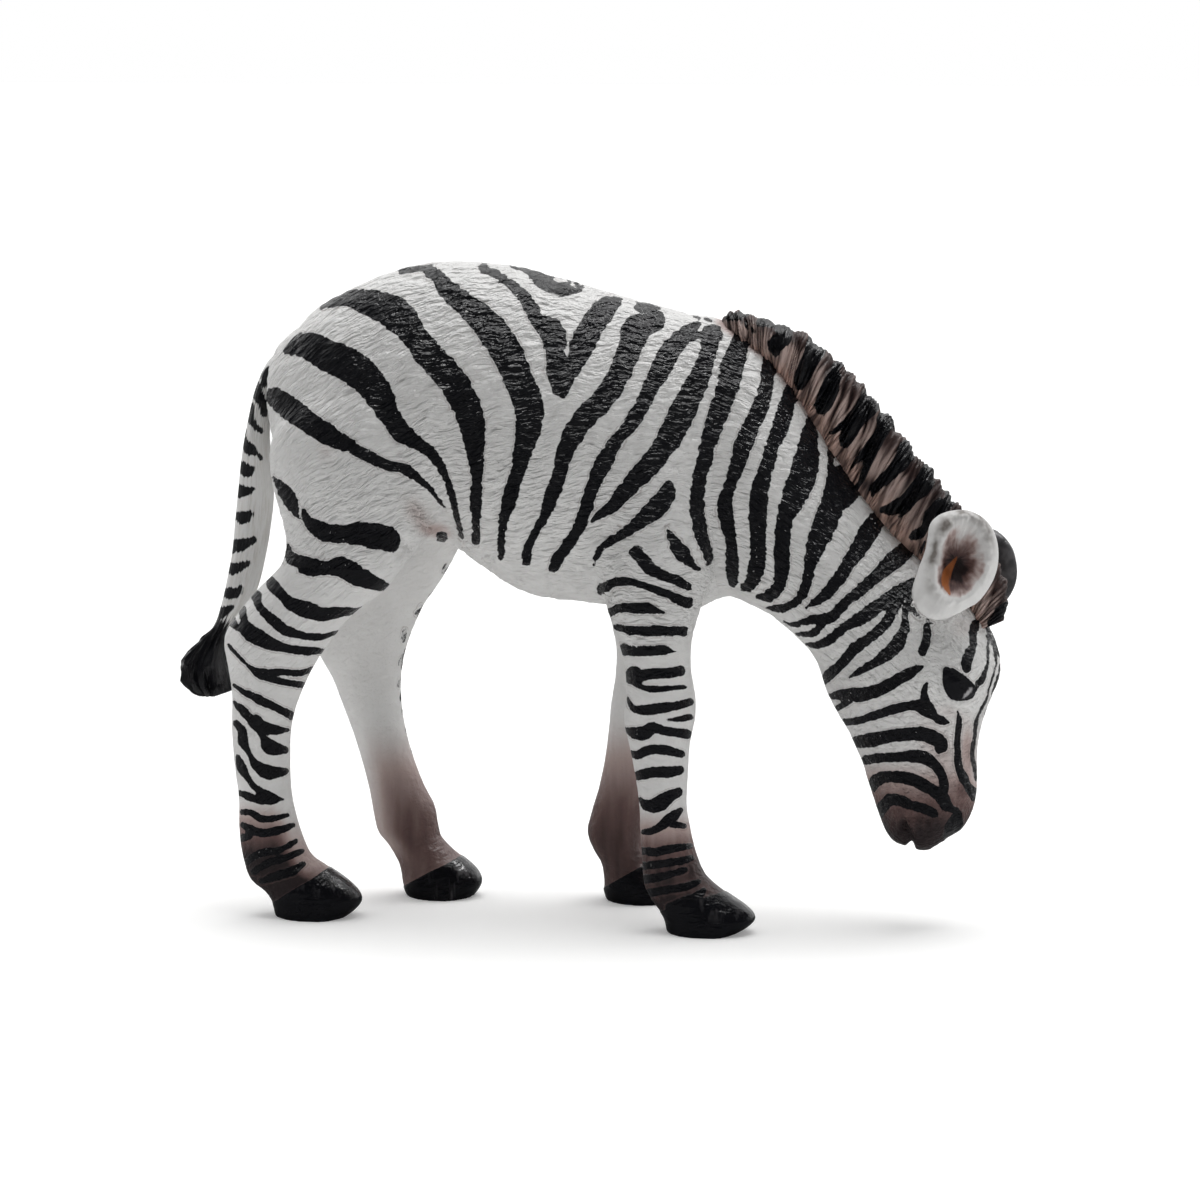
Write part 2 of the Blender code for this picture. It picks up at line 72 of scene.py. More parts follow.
def toPhoto(points):
    # a perspective projection: pixel = centre + focal length * sideways offset / depth
    right, up, back = cameraAxes()
    offset = points - (np.array(photo["aim"]) + back * photo["distance"])
    focal = photo["lens"] / photo["sensor"] * photo["pixels"] / -(offset @ back)
    half = photo["pixels"] / 2
    return np.stack([half + focal * (offset @ right), half - focal * (offset @ up)], axis=1)


def addCamera():
    data = bpy.data.cameras.new("photoCamera")
    data.lens = photo["lens"]
    data.sensor_width = photo["sensor"]
    data.clip_start, data.clip_end = photo["clip"]
    camera = addObject("photoCamera", data)
    camera.location = np.array(photo["aim"]) + cameraAxes()[2] * photo["distance"]
    camera.rotation_euler = (math.pi / 2 - photo["elevation"], 0, photo["azimuth"])
    bpy.context.scene.camera = camera


addCamera()
print("camera placed")

# Shapes shared by the pieces
mergeDistance = 0.002 * mm
sharpAngle = math.radians(55)


def smoothRows(rows, steps):
    # a Catmull-Rom curve through every column, with this many steps from row to row
    rows = np.asarray(rows, float)
    padded = np.vstack([2 * rows[0] - rows[1], rows, 2 * rows[-1] - rows[-2]])
    place = np.arange((len(rows) - 1) * steps + 1) / steps
    k = np.minimum(place.astype(int), len(rows) - 2)
    t = (place - k)[:, None]
    p, q, r, s = padded[k], padded[k + 1], padded[k + 2], padded[k + 3]
    return q + ((r - p) * t + (2 * p - 5 * q + 4 * r - s) * t**2 + (3 * q - p - 3 * r + s) * t**3) / 2


def ovalRows(shares, startX, spanX, startZ, spanZ, width):
    # a section is two points in the side view, x and z each, then its half width, the y of its middle and its
    # egg, worked out from shares of the sizes
    shares = np.array(shares)
    rows = np.zeros((len(shares), 7))
    rows[:, (0, 2)] = startX + spanX * shares[:, (0, 2)]
    rows[:, (1, 3)] = startZ + spanZ * shares[:, (1, 3)]
    rows[:, 4] = width * shares[:, 4]
    return rows


def anglesRound(sides):
    return 2 * math.pi * np.arange(sides) / sides


def ovalRings(rows, sides):
    # ring point = middle + half chord * cos + half width * sin * (1 + egg * cos)
    a = anglesRound(sides)
    middle = (rows[:, 0:2] + rows[:, 2:4]) / 2
    half = (rows[:, 0:2] - rows[:, 2:4]) / 2
    x = middle[:, :1] + half[:, :1] * np.cos(a)
    z = middle[:, 1:] + half[:, 1:] * np.cos(a)
    y = rows[:, 5:6] + rows[:, 4:5] * np.sin(a) * (1 + rows[:, 6:7] * np.cos(a))
    return np.stack([x, y, z], axis=2)


def gridFaces(count, sides):
    # quads between each ring and the next, closed round the rings
    i, k = np.meshgrid(np.arange(count - 1), np.arange(sides), indexing="ij")
    after = (k + 1) % sides
    quads = [i * sides + k, i * sides + after, (i + 1) * sides + after, (i + 1) * sides + k]
    return np.stack(quads, axis=2).reshape(-1, 4)


def meshFrom(name, points, faces):
    mesh = bpy.data.meshes.new(name)
    mesh.vertices.add(len(points))
    mesh.vertices.foreach_set("co", np.asarray(points, np.float32).ravel())
    mesh.loops.add(faces.size)
    mesh.loops.foreach_set("vertex_index", faces.astype(np.int32).ravel())
    mesh.polygons.add(len(faces))
    mesh.polygons.foreach_set("loop_start", np.arange(0, faces.size, faces.shape[1], dtype=np.int32))
    mesh.update(calc_edges=True)
    return mesh


def closeMesh(mesh):
    # caps every open rim, turns the faces outwards and shades all but sharp edges smooth
    shape = bmesh.new()
    shape.from_mesh(mesh)
    bmesh.ops.remove_doubles(shape, verts=shape.verts, dist=mergeDistance)
    bmesh.ops.holes_fill(shape, edges=shape.edges, sides=0)
    bmesh.ops.recalc_face_normals(shape, faces=shape.faces)
    shape.to_mesh(mesh)
    shape.free()
    mesh.shade_smooth()
    mesh.set_sharp_from_angle(angle=sharpAngle)


def loftMesh(name, rings):
    count, sides = rings.shape[:2]
    mesh = meshFrom(name, rings.reshape(-1, 3), gridFaces(count, sides))
    closeMesh(mesh)
    return mesh


def vertexArrays(mesh):
    points = np.empty(len(mesh.vertices) * 3, np.float32)
    normals = np.empty(len(mesh.vertices) * 3, np.float32)
    mesh.vertices.foreach_get("co", points)
    mesh.vertex_normals.foreach_get("vector", normals)
    return points.reshape(-1, 3).astype(float), normals.reshape(-1, 3).astype(float)


def setPoints(mesh, points):
    mesh.vertices.foreach_set("co", np.asarray(points, np.float32).ravel())
    mesh.update()


def setAttributes(mesh, attributes):
    # a number or a vector for each vertex, laid out in any grid
    for name, values in attributes.items():
        isVector = values.size == 3 * len(mesh.vertices)
        kind, field = ("FLOAT_VECTOR", "vector") if isVector else ("FLOAT", "value")
        layer = mesh.attributes.new(name, kind, "POINT")
        layer.data.foreach_set(field, np.asarray(values, np.float32).ravel())


def mirrored(points):
    # the same places, brought over to the figure's right side
    near = points.copy()
    near[:, 1] = -np.abs(points[:, 1])
    return near


def rise(x, low, high):
    # 0 below low, 1 above high, smooth between them; low may be the larger one
    t = np.clip((x - low) / (high - low), 0, 1)
    return t * t * (3 - 2 * t)


latticeSize = 64
lattice = np.random.default_rng(11).random((latticeSize,) * 3)


def softNoise(x, y, z):
    # value noise: random numbers on a lattice, blended smoothly between its eight nearest corners
    total = 0
    cells = [np.floor(c).astype(int) for c in (x, y, z)]
    parts = [c - f for c, f in zip((x, y, z), cells)]
    blends = [p * p * (3 - 2 * p) for p in parts]
    for corner in range(8):
        bits = (corner & 1, corner >> 1 & 1, corner >> 2 & 1)
        index = tuple((f + b) % latticeSize for f, b in zip(cells, bits))
        weight = 1
        for b, w in zip(bits, blends):
            weight = weight * (w if b else 1 - w)
        total = total + lattice[index] * weight
    return total * 2 - 1


unpainted = 30.0  # photo pixels from the nearest stroke: what a map says far from all of them
strokeMargin = 14  # pixels round a stroke in which the map is worked out


def strokeMap(strokes):
    # signed distance in photo pixels to the nearest brush stroke, negative inside it; a stroke is a smooth
    # line of (x, y, half width), and between two of its points the half width changes evenly
    field = np.full((photo["pixels"], photo["pixels"]), unpainted, np.float32)
    for stroke in strokes:
        line = smoothRows(stroke, 4) if len(stroke) > 2 else np.asarray(stroke, float)
        for (ax, ay, ar), (bx, by, br) in zip(line, line[1:]):
            reach = max(ar, br, 0) + strokeMargin
            x0, x1 = int(min(ax, bx) - reach), int(max(ax, bx) + reach)
            y0, y1 = int(min(ay, by) - reach), int(max(ay, by) + reach)
            gy, gx = np.mgrid[y0:y1, x0:x1]
            dx, dy = bx - ax, by - ay
            t = np.clip(((gx - ax) * dx + (gy - ay) * dy) / (dx * dx + dy * dy + 1e-9), 0, 1)
            gap = np.hypot(gx - ax - t * dx, gy - ay - t * dy) - (ar + (br - ar) * t)
            window = field[y0:y1, x0:x1]
            np.minimum(window, gap, out=window)
    return field


def readMap(field, pixels):
    # the map's value between pixels, blended from the four around the place
    place = np.clip(pixels, 1, photo["pixels"] - 3)
    low = place.astype(int)
    u, v = (place - low).T
    x, y = low.T
    top = field[y, x] * (1 - u) + field[y, x + 1] * u
    bottom = field[y + 1, x] * (1 - u) + field[y + 1, x + 1] * u
    return top * (1 - v) + bottom * v


def strokesAt(strokes, pixels):
    return readMap(strokeMap(strokes), pixels)


def bellsAt(table, pixels):
    # the sum of bells over turned ovals; a row is x, y, radius along, radius across, turn in degrees, amount,
    # and its bell is amount * exp(-(along^2 + across^2)), each measured in its radius
    total = np.zeros(len(pixels))
    for x, y, radiusAlong, radiusAcross, turn, amount in table:
        dx, dy = pixels[:, 0] - x, pixels[:, 1] - y
        c, s = math.cos(math.radians(turn)), math.sin(math.radians(turn))
        u, v = (dx * c + dy * s) / radiusAlong, (dy * c - dx * s) / radiusAcross
        total += amount * np.exp(-(u * u + v * v))
    return total


def finishPiece(name, mesh, material, node):
    mesh.materials.clear()
    mesh.materials.append(material)
    piece = addObject(name, mesh)
    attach(piece, "root")
    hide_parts(node)


# The skin of torso, neck, head and legs. The tables are shares of these sizes, as the CAD's are: the upper or
# rear point, the lower or front point, the half width and, on the neck, the egg.
skin = {
    "torsoLength": 46.4 * mm,
    "torsoDepth": 35.5 * mm,
    "torsoWidth": 22.4 * mm,
    "bellyHeight": 30.3 * mm,
    "rearShare": -0.716,
    "torsoEgg": -0.06,
    "neckReach": 28.1 * mm,
    "neckDrop": 52.2 * mm,
    "headWidth": 13.6 * mm,
    "headTurn": math.radians(9.0),
    "headPivot": 0.60,
    "voxel": 0.245 * mm,
    "quickVoxel": 0.40 * mm,
    "smoothing": (0.5, -0.53),  # shares taken in turn, so that the skin smooths without shrinking
    "smoothRounds": 19,
    "seamSmoothing": 0.6,  # once more where the legs meet the torso
    "seamRounds": 64,
    "seamMargin": 6 * mm,
    "seamTop": (14 * mm, 20 * mm),  # over the seam, where that fades out
    "seamReach": 2 * mm,  # how far outside a leg's ovals the skin is still that leg's
    "legBlend": 10 * mm,  # over the seam, where the far leg's stripes go over into the body's
    "hoofSwell": 0.10 * mm,
    "eyeball": 0.42 * mm,
    "eyeballRim": 12,  # photo pixels from the eye's rim to the top of the eyeball
}
torsoShares = (
    (0.018, 0.700, 0.010, 0.610, 0.055),
    (0.026, 0.740, 0.012, 0.560, 0.140),
    (0.048, 0.775, 0.026, 0.480, 0.220),
    (0.076, 0.803, 0.048, 0.390, 0.285),
    (0.120, 0.860, 0.105, 0.290, 0.360),
    (0.180, 0.905, 0.175, 0.215, 0.430),
    (0.255, 0.950, 0.260, 0.200, 0.465),
    (0.330, 0.980, 0.340, 0.205, 0.480),
    (0.410, 0.993, 0.410, 0.195, 0.480),
    (0.485, 0.990, 0.485, 0.135, 0.490),
    (0.560, 0.978, 0.560, 0.075, 0.500),
    (0.635, 0.953, 0.635, 0.050, 0.500),
    (0.710, 0.927, 0.710, 0.040, 0.485),
    (0.790, 0.897, 0.790, 0.030, 0.460),
    (0.865, 0.873, 0.865, 0.022, 0.435),
    (0.930, 0.852, 0.935, 0.020, 0.400),
    (1.000, 0.834, 1.005, 0.066, 0.335),
)
neckShares = (
    (0.145, 0.055, 0.055, 0.525, 0.565, -0.14),
    (0.260, 0.130, 0.115, 0.540, 0.530, -0.20),
    (0.360, 0.215, 0.175, 0.555, 0.500, -0.22),
    (0.455, 0.290, 0.230, 0.580, 0.480, -0.22),
    (0.545, 0.355, 0.285, 0.605, 0.465, -0.20),
    (0.630, 0.405, 0.330, 0.635, 0.450, -0.14),
    (0.730, 0.450, 0.350, 0.660, 0.455, -0.05),
    (0.845, 0.505, 0.365, 0.690, 0.480, 0.05),
    (0.925, 0.555, 0.385, 0.715, 0.500, 0.15),
    (0.975, 0.610, 0.415, 0.745, 0.500, 0.22),
    (0.985, 0.660, 0.450, 0.775, 0.455, 0.20),
    (0.955, 0.705, 0.480, 0.810, 0.405, 0.12),
    (0.925, 0.755, 0.505, 0.840, 0.370, 0.02),
    (0.910, 0.805, 0.525, 0.875, 0.345, 0.00),
    (0.910, 0.855, 0.545, 0.905, 0.340, 0.00),
    (0.905, 0.900, 0.565, 0.935, 0.340, 0.00),
    (0.880, 0.940, 0.590, 0.965, 0.325, 0.00),
    (0.830, 0.970, 0.630, 0.985, 0.255, 0.00),
    (0.770, 0.990, 0.690, 0.995, 0.120, 0.00),
)
# What a pair of legs has in common, and the paint that only some legs have
hindPair = {"station": 0.238, "span": 18.4 * mm, "width": 10.4 * mm, "spread": 6.6 * mm}
forePair = {"station": 0.875, "span": 11.4 * mm, "width": 8.8 * mm, "spread": 6.3 * mm}
plainPaint = {
    "paleEdge": (0.0, 0, 1, 0, 1),  # amount, range over the leg (back -1, front 1), range of photo y
    "paleFoot": (0.0, 0, 1),  # amount, range of photo y
    "darkPastern": (0.0, 0, 1),  # amount, range of photo pixels below the hoof's upper edge
    # greyToe: how much lighter grey covers the hoof's front
    "greyToe": 0.0,
}
# In photo pixels, coronet is the hoof's upper edge, and brownFrom says where the brown starts and is full
legs = {
    "rightHindleg": {
        **hindPair,
        **plainPaint,
        "node": "right_hindleg",
        "side": -1,
        "stance": 5.5 * mm,
        "seam": 1.185,
        "coronet": ((277, 900), (321, 872)),
        "brownFrom": (785, 878),
        "brownMost": 1.36,
        "paleEdge": (0.65, 0.35, 0.95, 895, 862),
        "darkPastern": (1.30, -36, -3),
        "toeLift": 1.9 * mm,
        "toeRound": 1.2 * mm,
        "toeFront": 1.15 * mm,
        "shares": (
            (-0.320, 1.720, 0.370, 1.750, 0.350),
            (-0.470, 1.620, 0.470, 1.610, 0.460),
            (-0.500, 1.505, 0.500, 1.470, 0.500),
            (-0.460, 1.385, 0.440, 1.340, 0.480),
            (-0.410, 1.275, 0.330, 1.250, 0.450),
            (-0.425, 1.190, 0.240, 1.180, 0.425),
            (-0.545, 1.115, 0.130, 1.095, 0.405),
            (-0.685, 1.015, -0.040, 1.020, 0.385),
            (-0.760, 0.930, -0.165, 0.930, 0.355),
            (-0.740, 0.840, -0.265, 0.845, 0.325),
            (-0.720, 0.745, -0.350, 0.740, 0.300),
            (-0.725, 0.635, -0.400, 0.635, 0.275),
            (-0.715, 0.515, -0.410, 0.520, 0.260),
            (-0.695, 0.400, -0.405, 0.410, 0.255),
            (-0.695, 0.295, -0.375, 0.320, 0.270),
            (-0.680, 0.205, -0.335, 0.245, 0.285),
            (-0.630, 0.120, -0.295, 0.200, 0.280),
            (-0.550, 0.075, -0.215, 0.165, 0.290),
            (-0.510, 0.035, -0.120, 0.110, 0.320),
            (-0.500, 0.000, -0.060, 0.000, 0.335),
        ),
    },
    "leftHindleg": {
        **hindPair,
        **plainPaint,
        "node": "left_hindleg",
        "side": 1,
        "stance": 6.3 * mm,
        "seam": 1.170,
        "coronet": ((404, 886), (456, 857)),
        "brownFrom": (695, 845),
        "brownMost": 0.82,
        "paleEdge": (0.58, 0.1, -0.8, 868, 838),
        "paleFoot": (0.12, 835, 870),
        "greyToe": 0.60,
        "toeLift": 1.6 * mm,
        "toeRound": 0.7 * mm,
        "toeFront": 1.0 * mm,
        "shares": (
            (-0.440, 1.675, 0.295, 1.710, 0.350),
            (-0.500, 1.575, 0.395, 1.550, 0.460),
            (-0.500, 1.440, 0.450, 1.390, 0.500),
            (-0.445, 1.295, 0.450, 1.275, 0.480),
            (-0.380, 1.170, 0.390, 1.170, 0.450),
            (-0.335, 1.065, 0.300, 1.075, 0.425),
            (-0.360, 0.980, 0.200, 0.990, 0.405),
            (-0.410, 0.895, 0.120, 0.885, 0.385),
            (-0.395, 0.825, 0.085, 0.815, 0.355),
            (-0.320, 0.745, 0.065, 0.730, 0.325),
            (-0.265, 0.660, 0.070, 0.645, 0.300),
            (-0.200, 0.555, 0.095, 0.555, 0.275),
            (-0.150, 0.455, 0.140, 0.460, 0.260),
            (-0.110, 0.360, 0.195, 0.375, 0.255),
            (-0.085, 0.275, 0.255, 0.305, 0.270),
            (-0.060, 0.215, 0.275, 0.240, 0.285),
            (0.000, 0.170, 0.295, 0.195, 0.280),
            (0.060, 0.105, 0.355, 0.155, 0.290),
            (0.080, 0.040, 0.435, 0.100, 0.320),
            (0.105, 0.000, 0.500, 0.000, 0.335),
        ),
    },
    "rightForeleg": {
        **forePair,
        **plainPaint,
        "node": "right_foreleg",
        "side": -1,
        "stance": 7.1 * mm,
        "seam": 0.957,
        "coronet": ((664, 910), (718, 893)),
        "brownFrom": (795, 875),
        "brownMost": 1.08,
        "darkPastern": (1.30, -36, -3),
        "toeLift": 1.8 * mm,
        "toeRound": 1.3 * mm,
        "toeFront": 0.8 * mm,
        "shares": (
            (-0.380, 1.570, 0.380, 1.570, 0.340),
            (-0.465, 1.390, 0.490, 1.380, 0.455),
            (-0.500, 1.245, 0.510, 1.235, 0.500),
            (-0.475, 1.125, 0.440, 1.115, 0.490),
            (-0.420, 1.045, 0.370, 1.040, 0.465),
            (-0.335, 0.955, 0.320, 0.960, 0.430),
            (-0.270, 0.865, 0.305, 0.870, 0.400),
            (-0.260, 0.775, 0.350, 0.780, 0.400),
            (-0.280, 0.700, 0.350, 0.705, 0.385),
            (-0.225, 0.610, 0.300, 0.615, 0.345),
            (-0.170, 0.510, 0.285, 0.515, 0.310),
            (-0.135, 0.415, 0.275, 0.420, 0.300),
            (-0.125, 0.330, 0.305, 0.345, 0.320),
            (-0.110, 0.250, 0.355, 0.265, 0.335),
            (-0.090, 0.165, 0.425, 0.200, 0.335),
            (-0.025, 0.105, 0.515, 0.160, 0.340),
            (0.085, 0.050, 0.800, 0.060, 0.385),
            (0.120, 0.000, 0.815, 0.000, 0.390),
        ),
    },
    "leftForeleg": {
        **forePair,
        **plainPaint,
        "node": "left_foreleg",
        "side": 1,
        "stance": 7.3 * mm,
        "seam": 0.967,
        "coronet": ((603, 888), (642, 866)),
        "brownFrom": (685, 850),
        "brownMost": 0.94,
        "toeLift": 1.6 * mm,
        "toeRound": 0.7 * mm,
        "toeFront": 0.0,
        "shares": (
            (-0.490, 1.530, 0.270, 1.525, 0.340),
            (-0.580, 1.340, 0.370, 1.325, 0.455),
            (-0.615, 1.190, 0.370, 1.175, 0.500),
            (-0.620, 1.065, 0.300, 1.055, 0.490),
            (-0.580, 0.970, 0.210, 0.965, 0.465),
            (-0.520, 0.870, 0.140, 0.875, 0.430),
            (-0.530, 0.765, 0.085, 0.780, 0.400),
            (-0.565, 0.680, 0.065, 0.695, 0.400),
            (-0.585, 0.595, 0.020, 0.605, 0.385),
            (-0.620, 0.490, -0.095, 0.505, 0.345),
            (-0.675, 0.390, -0.205, 0.400, 0.310),
            (-0.750, 0.295, -0.260, 0.315, 0.300),
            (-0.785, 0.230, -0.285, 0.245, 0.320),
            (-0.735, 0.175, -0.280, 0.195, 0.335),
            (-0.660, 0.125, -0.205, 0.150, 0.335),
            (-0.635, 0.065, -0.095, 0.120, 0.350),
            (-0.635, 0.035, 0.020, 0.070, 0.385),
            (-0.610, 0.000, 0.050, 0.000, 0.390),
        ),
    },
}
rearX = skin["torsoLength"] * skin["rearShare"]
withersX = rearX + skin["torsoLength"]
withersZ = skin["bellyHeight"] + skin["torsoDepth"] * torsoShares[-1][1]


def bendNeck(points):
    # each point turns about the head's upright pivot, more the further it is past the withers
    pivot = withersX + skin["neckReach"] * skin["headPivot"]
    angle = -skin["headTurn"] * rise(points[..., 0], withersX, withersX + skin["neckReach"])
    x, y = points[..., 0] - pivot, points[..., 1]
    bent = points.copy()
    bent[..., 0] = pivot + x * np.cos(angle) - y * np.sin(angle)
    bent[..., 1] = x * np.sin(angle) + y * np.cos(angle)
    return bent


def trunkRows():
    # torso and neck in one run of sections
    torso = ovalRows(torsoShares, rearX, skin["torsoLength"], skin["bellyHeight"], skin["torsoDepth"],
                     skin["torsoWidth"])
    torso[:, 6] = skin["torsoEgg"]
    neck = ovalRows(neckShares, withersX, skin["neckReach"], withersZ, -skin["neckDrop"], skin["headWidth"])
    neck[:, 6] = np.array(neckShares)[:, 5]
    return np.vstack([torso, neck])


def legRows(leg):
    # a leg leans sideways from its spread at the belly to its stance on the ground
    hip = rearX + skin["torsoLength"] * leg["station"]
    rows = ovalRows(leg["shares"], hip, leg["span"], 0.0, skin["bellyHeight"], leg["width"])
    s = np.array(leg["shares"])
    up = np.minimum(1, (s[:, 1] + s[:, 3]) / 2)
    rows[:, 5] = leg["side"] * (leg["stance"] + (leg["spread"] - leg["stance"]) * up)
    return rows


def legCourse(leg, z):
    # the leg's middle x, half span, middle y and half width at these heights
    rows = smoothRows(legRows(leg), 4)
    heights = (rows[:, 1] + rows[:, 3]) / 2
    order = np.argsort(heights)
    columns = ((rows[:, 0] + rows[:, 2]) / 2, np.abs(rows[:, 2] - rows[:, 0]) / 2, rows[:, 5], rows[:, 4])
    return [np.interp(z, heights[order], column[order]) for column in columns]


def remeshedSkin(voxel):
    # torso, neck, head and legs are lofted as closed bodies and remeshed into one unbroken skin
    rings = [bendNeck(ovalRings(smoothRows(trunkRows(), 6), 96))]
    rings += [ovalRings(smoothRows(legRows(leg), 6), 48) for leg in legs.values()]
    shape = bmesh.new()
    for ring in rings:
        part = loftMesh("skinPart", ring)
        shape.from_mesh(part)
        bpy.data.meshes.remove(part)
    joined = bpy.data.meshes.new("skin")
    shape.to_mesh(joined)
    shape.free()
    holder = addObject("skin", joined)
    remesh = holder.modifiers.new("remesh", "REMESH")
    remesh.mode = "VOXEL"
    remesh.voxel_size = voxel
    graph = bpy.context.evaluated_depsgraph_get()
    mesh = bpy.data.meshes.new_from_object(holder.evaluated_get(graph), depsgraph=graph)
    bpy.data.objects.remove(holder)
    return mesh


def meshEdges(mesh):
    edges = np.empty(len(mesh.edges) * 2, np.int32)
    mesh.edges.foreach_get("vertices", edges)
    return edges.reshape(-1, 2)


def meshQuads(mesh):
    corners = np.empty(len(mesh.loops), np.int32)
    mesh.loops.foreach_get("vertex_index", corners)
    return corners.reshape(-1, 4)


def relax(points, edges, shares, rounds):
    # each round moves every vertex a share of the way to the mean of its neighbours; the shares take turns
    count = np.bincount(edges.ravel(), minlength=len(points))[:, None]
    a, b = edges.T
    for k in range(rounds):
        share = shares[k % len(shares)]
        total = np.stack([
            np.bincount(a, points[b, axis], len(points)) + np.bincount(b, points[a, axis], len(points))
            for axis in range(3)
        ], axis=1)
        points = points + share * (total / np.maximum(count, 1) - points)
    return points


def besideLeg(leg, points):
    # how far outside the leg's sides the points lie, at their own heights, negative inside
    x, y, z = points.T
    middleX, halfSpan, middleY, halfWidth = legCourse(leg, z)
    return np.maximum(np.abs(x - middleX) - halfSpan, np.abs(y - middleY) - halfWidth)


def labelSkin(points):
    # 0 torso, 1 neck and head, 2 and up the legs: where the seams between the mouldings run
    x, y, z = points.T
    label = np.zeros(len(points), int)
    label[(x > withersX) & (z > skin["bellyHeight"])] = 1
    for k, leg in enumerate(legs.values()):
        inside = besideLeg(leg, points) < skin["seamReach"]
        label[inside & (z < skin["bellyHeight"] * leg["seam"])] = 2 + k
    label[(x > withersX) & (z < skin["bellyHeight"]) & (label == 0)] = 1
    return label


def legNearness(points, margin):
    # 1 at a leg's upper end, where it meets the torso, fading to 0 this far from the leg's sides
    z = points[:, 2]
    fadeFrom, fadeTo = skin["seamTop"]
    total = np.zeros(len(points))
    for leg in legs.values():
        near = 1 - rise(np.abs(besideLeg(leg, points)), margin * 0.4, margin)
        seamZ = skin["bellyHeight"] * leg["seam"]
        upper = rise(z, seamZ - margin * 2, seamZ) * (1 - rise(z, seamZ + fadeFrom, seamZ + fadeTo))
        total = np.maximum(total, near * upper)
    return total


def brushPlaces(points):
    # where the brush meets the figure: its left side is painted as the mirror image of its right side, and
    # a left leg takes the bars of the right one, wherever it steps
    near = mirrored(points)
    far = points[:, 1] > 0
    x, z = points[:, 0], points[:, 2]
    for nearName, farName in (("rightHindleg", "leftHindleg"), ("rightForeleg", "leftForeleg")):
        nearX, nearSpan = legCourse(legs[nearName], z)[:2]
        farX, farSpan = legCourse(legs[farName], z)[:2]
        seamZ = skin["bellyHeight"] * legs[farName]["seam"]
        beside = rise(np.abs(x - farX), 1.2 * farSpan, 2.2 * farSpan)
        weight = (1 - rise(z, seamZ, seamZ + skin["legBlend"])) * (1 - beside)
        moved = nearX + (x - farX) * nearSpan / farSpan
        near[:, 0] = np.where(far, near[:, 0] + (moved - x) * weight, near[:, 0])
    return near


# How the fur lies, seen from the side: the slope of its lines at each x, in millimetres
fur = {
    "slopes": (
        (-34, 1.10), (-27, 0.75), (-20, 0.42), (-12, 0.28), (0, 0.10), (10, -0.05), (18, -0.40), (28, -0.75),
    ),
    "across": 0.40,  # millimetres: half the way from one ridge to the next
    "along": 1.25,
    "sideways": 0.62,
    "height": 0.15,
    "onLegs": 0.45,  # the legs' fur as a share of the body's
    "thinRump": (290, 480, 40, 60),  # photo pixels: the middle and the radii of a smoother patch
}


def hairSpace(points):
    # phi counts the hair lines across, in millimetres: z less the integral of their slope along x, and two
    # sines that make the lines waver
    x, y, z = points.T / mm
    at, slope = np.array(fur["slopes"]).T
    fine = np.linspace(-50, 50, 401)
    total = np.cumsum(np.interp(fine, at, slope)) * (fine[1] - fine[0])
    phi = z - np.interp(x, fine, total)
    wave = 0.5 * np.sin(x * 0.9 + 0.35 * z) + 0.35 * np.sin(x * 1.9 - 0.5 * z + 1.0)
    return np.stack([phi + 0.3 * wave, x, y], axis=1)


def furRidges(hair):
    # long low ridges that follow the hair: value noise stretched along it, with sharper crests on top
    phi, along, side = hair.T
    a, s, w = fur["across"], fur["along"], fur["sideways"]
    broad = softNoise(phi / a + 7, along / s, side / w)
    crest = 1 - 2 * np.abs(softNoise(phi / a * 0.8 + 31, along / s * 0.8 + 3, side / w + 9))
    fine = softNoise(phi / a * 2.1 + 51, along / s * 1.7, side / w * 1.8)
    return 0.55 * broad + 0.30 * crest + 0.25 * fine


# Broad forms under the skin, as bellsAt takes them: photo pixels, degrees and millimetres outwards
muscles = (
    (436, 520, 34, 15, 55, -0.75),
    (425, 556, 26, 9, 35, -0.45),
    (330, 430, 46, 40, 0, 0.30),
    (372, 560, 24, 14, -20, 0.30),
    (330, 500, 30, 20, 0, 0.12),
    (612, 545, 34, 9, 62, -0.28),
    (650, 470, 40, 26, -60, 0.25),
    (655, 565, 26, 18, 10, 0.25),
    (700, 560, 26, 12, 80, 0.15),
    (748, 520, 40, 10, 88, -0.20),
    (880, 690, 34, 28, 20, 0.30),
    (848, 662, 22, 9, -50, -0.30),
    (915, 700, 24, 10, 70, -0.22),
    (962, 655, 14, 9, 20, 0.35),
    (930, 760, 26, 9, 80, -0.15),
    (957, 752, 24, 6, 85, 0.18),
    (905, 812, 18, 14, 0, 0.15),
    (952, 822, 16, 12, 60, 0.35),
    (926, 846, 12, 7, 0, 0.30),
    (897, 838, 9, 7, 20, 0.15),
    (655, 700, 16, 12, 0, 0.18),
    (668, 735, 14, 8, 0, -0.10),
    (240, 640, 14, 10, 60, 0.20),
    (270, 628, 18, 7, -50, -0.22),
    (250, 700, 40, 4, 85, -0.20),
    (268, 750, 60, 6, 88, 0.12),
    (648, 790, 50, 4, 88, -0.18),
    (665, 800, 50, 7, 88, 0.10),
    (255, 872, 12, 10, 0, 0.15),
    (655, 885, 12, 9, 0, 0.15),
)
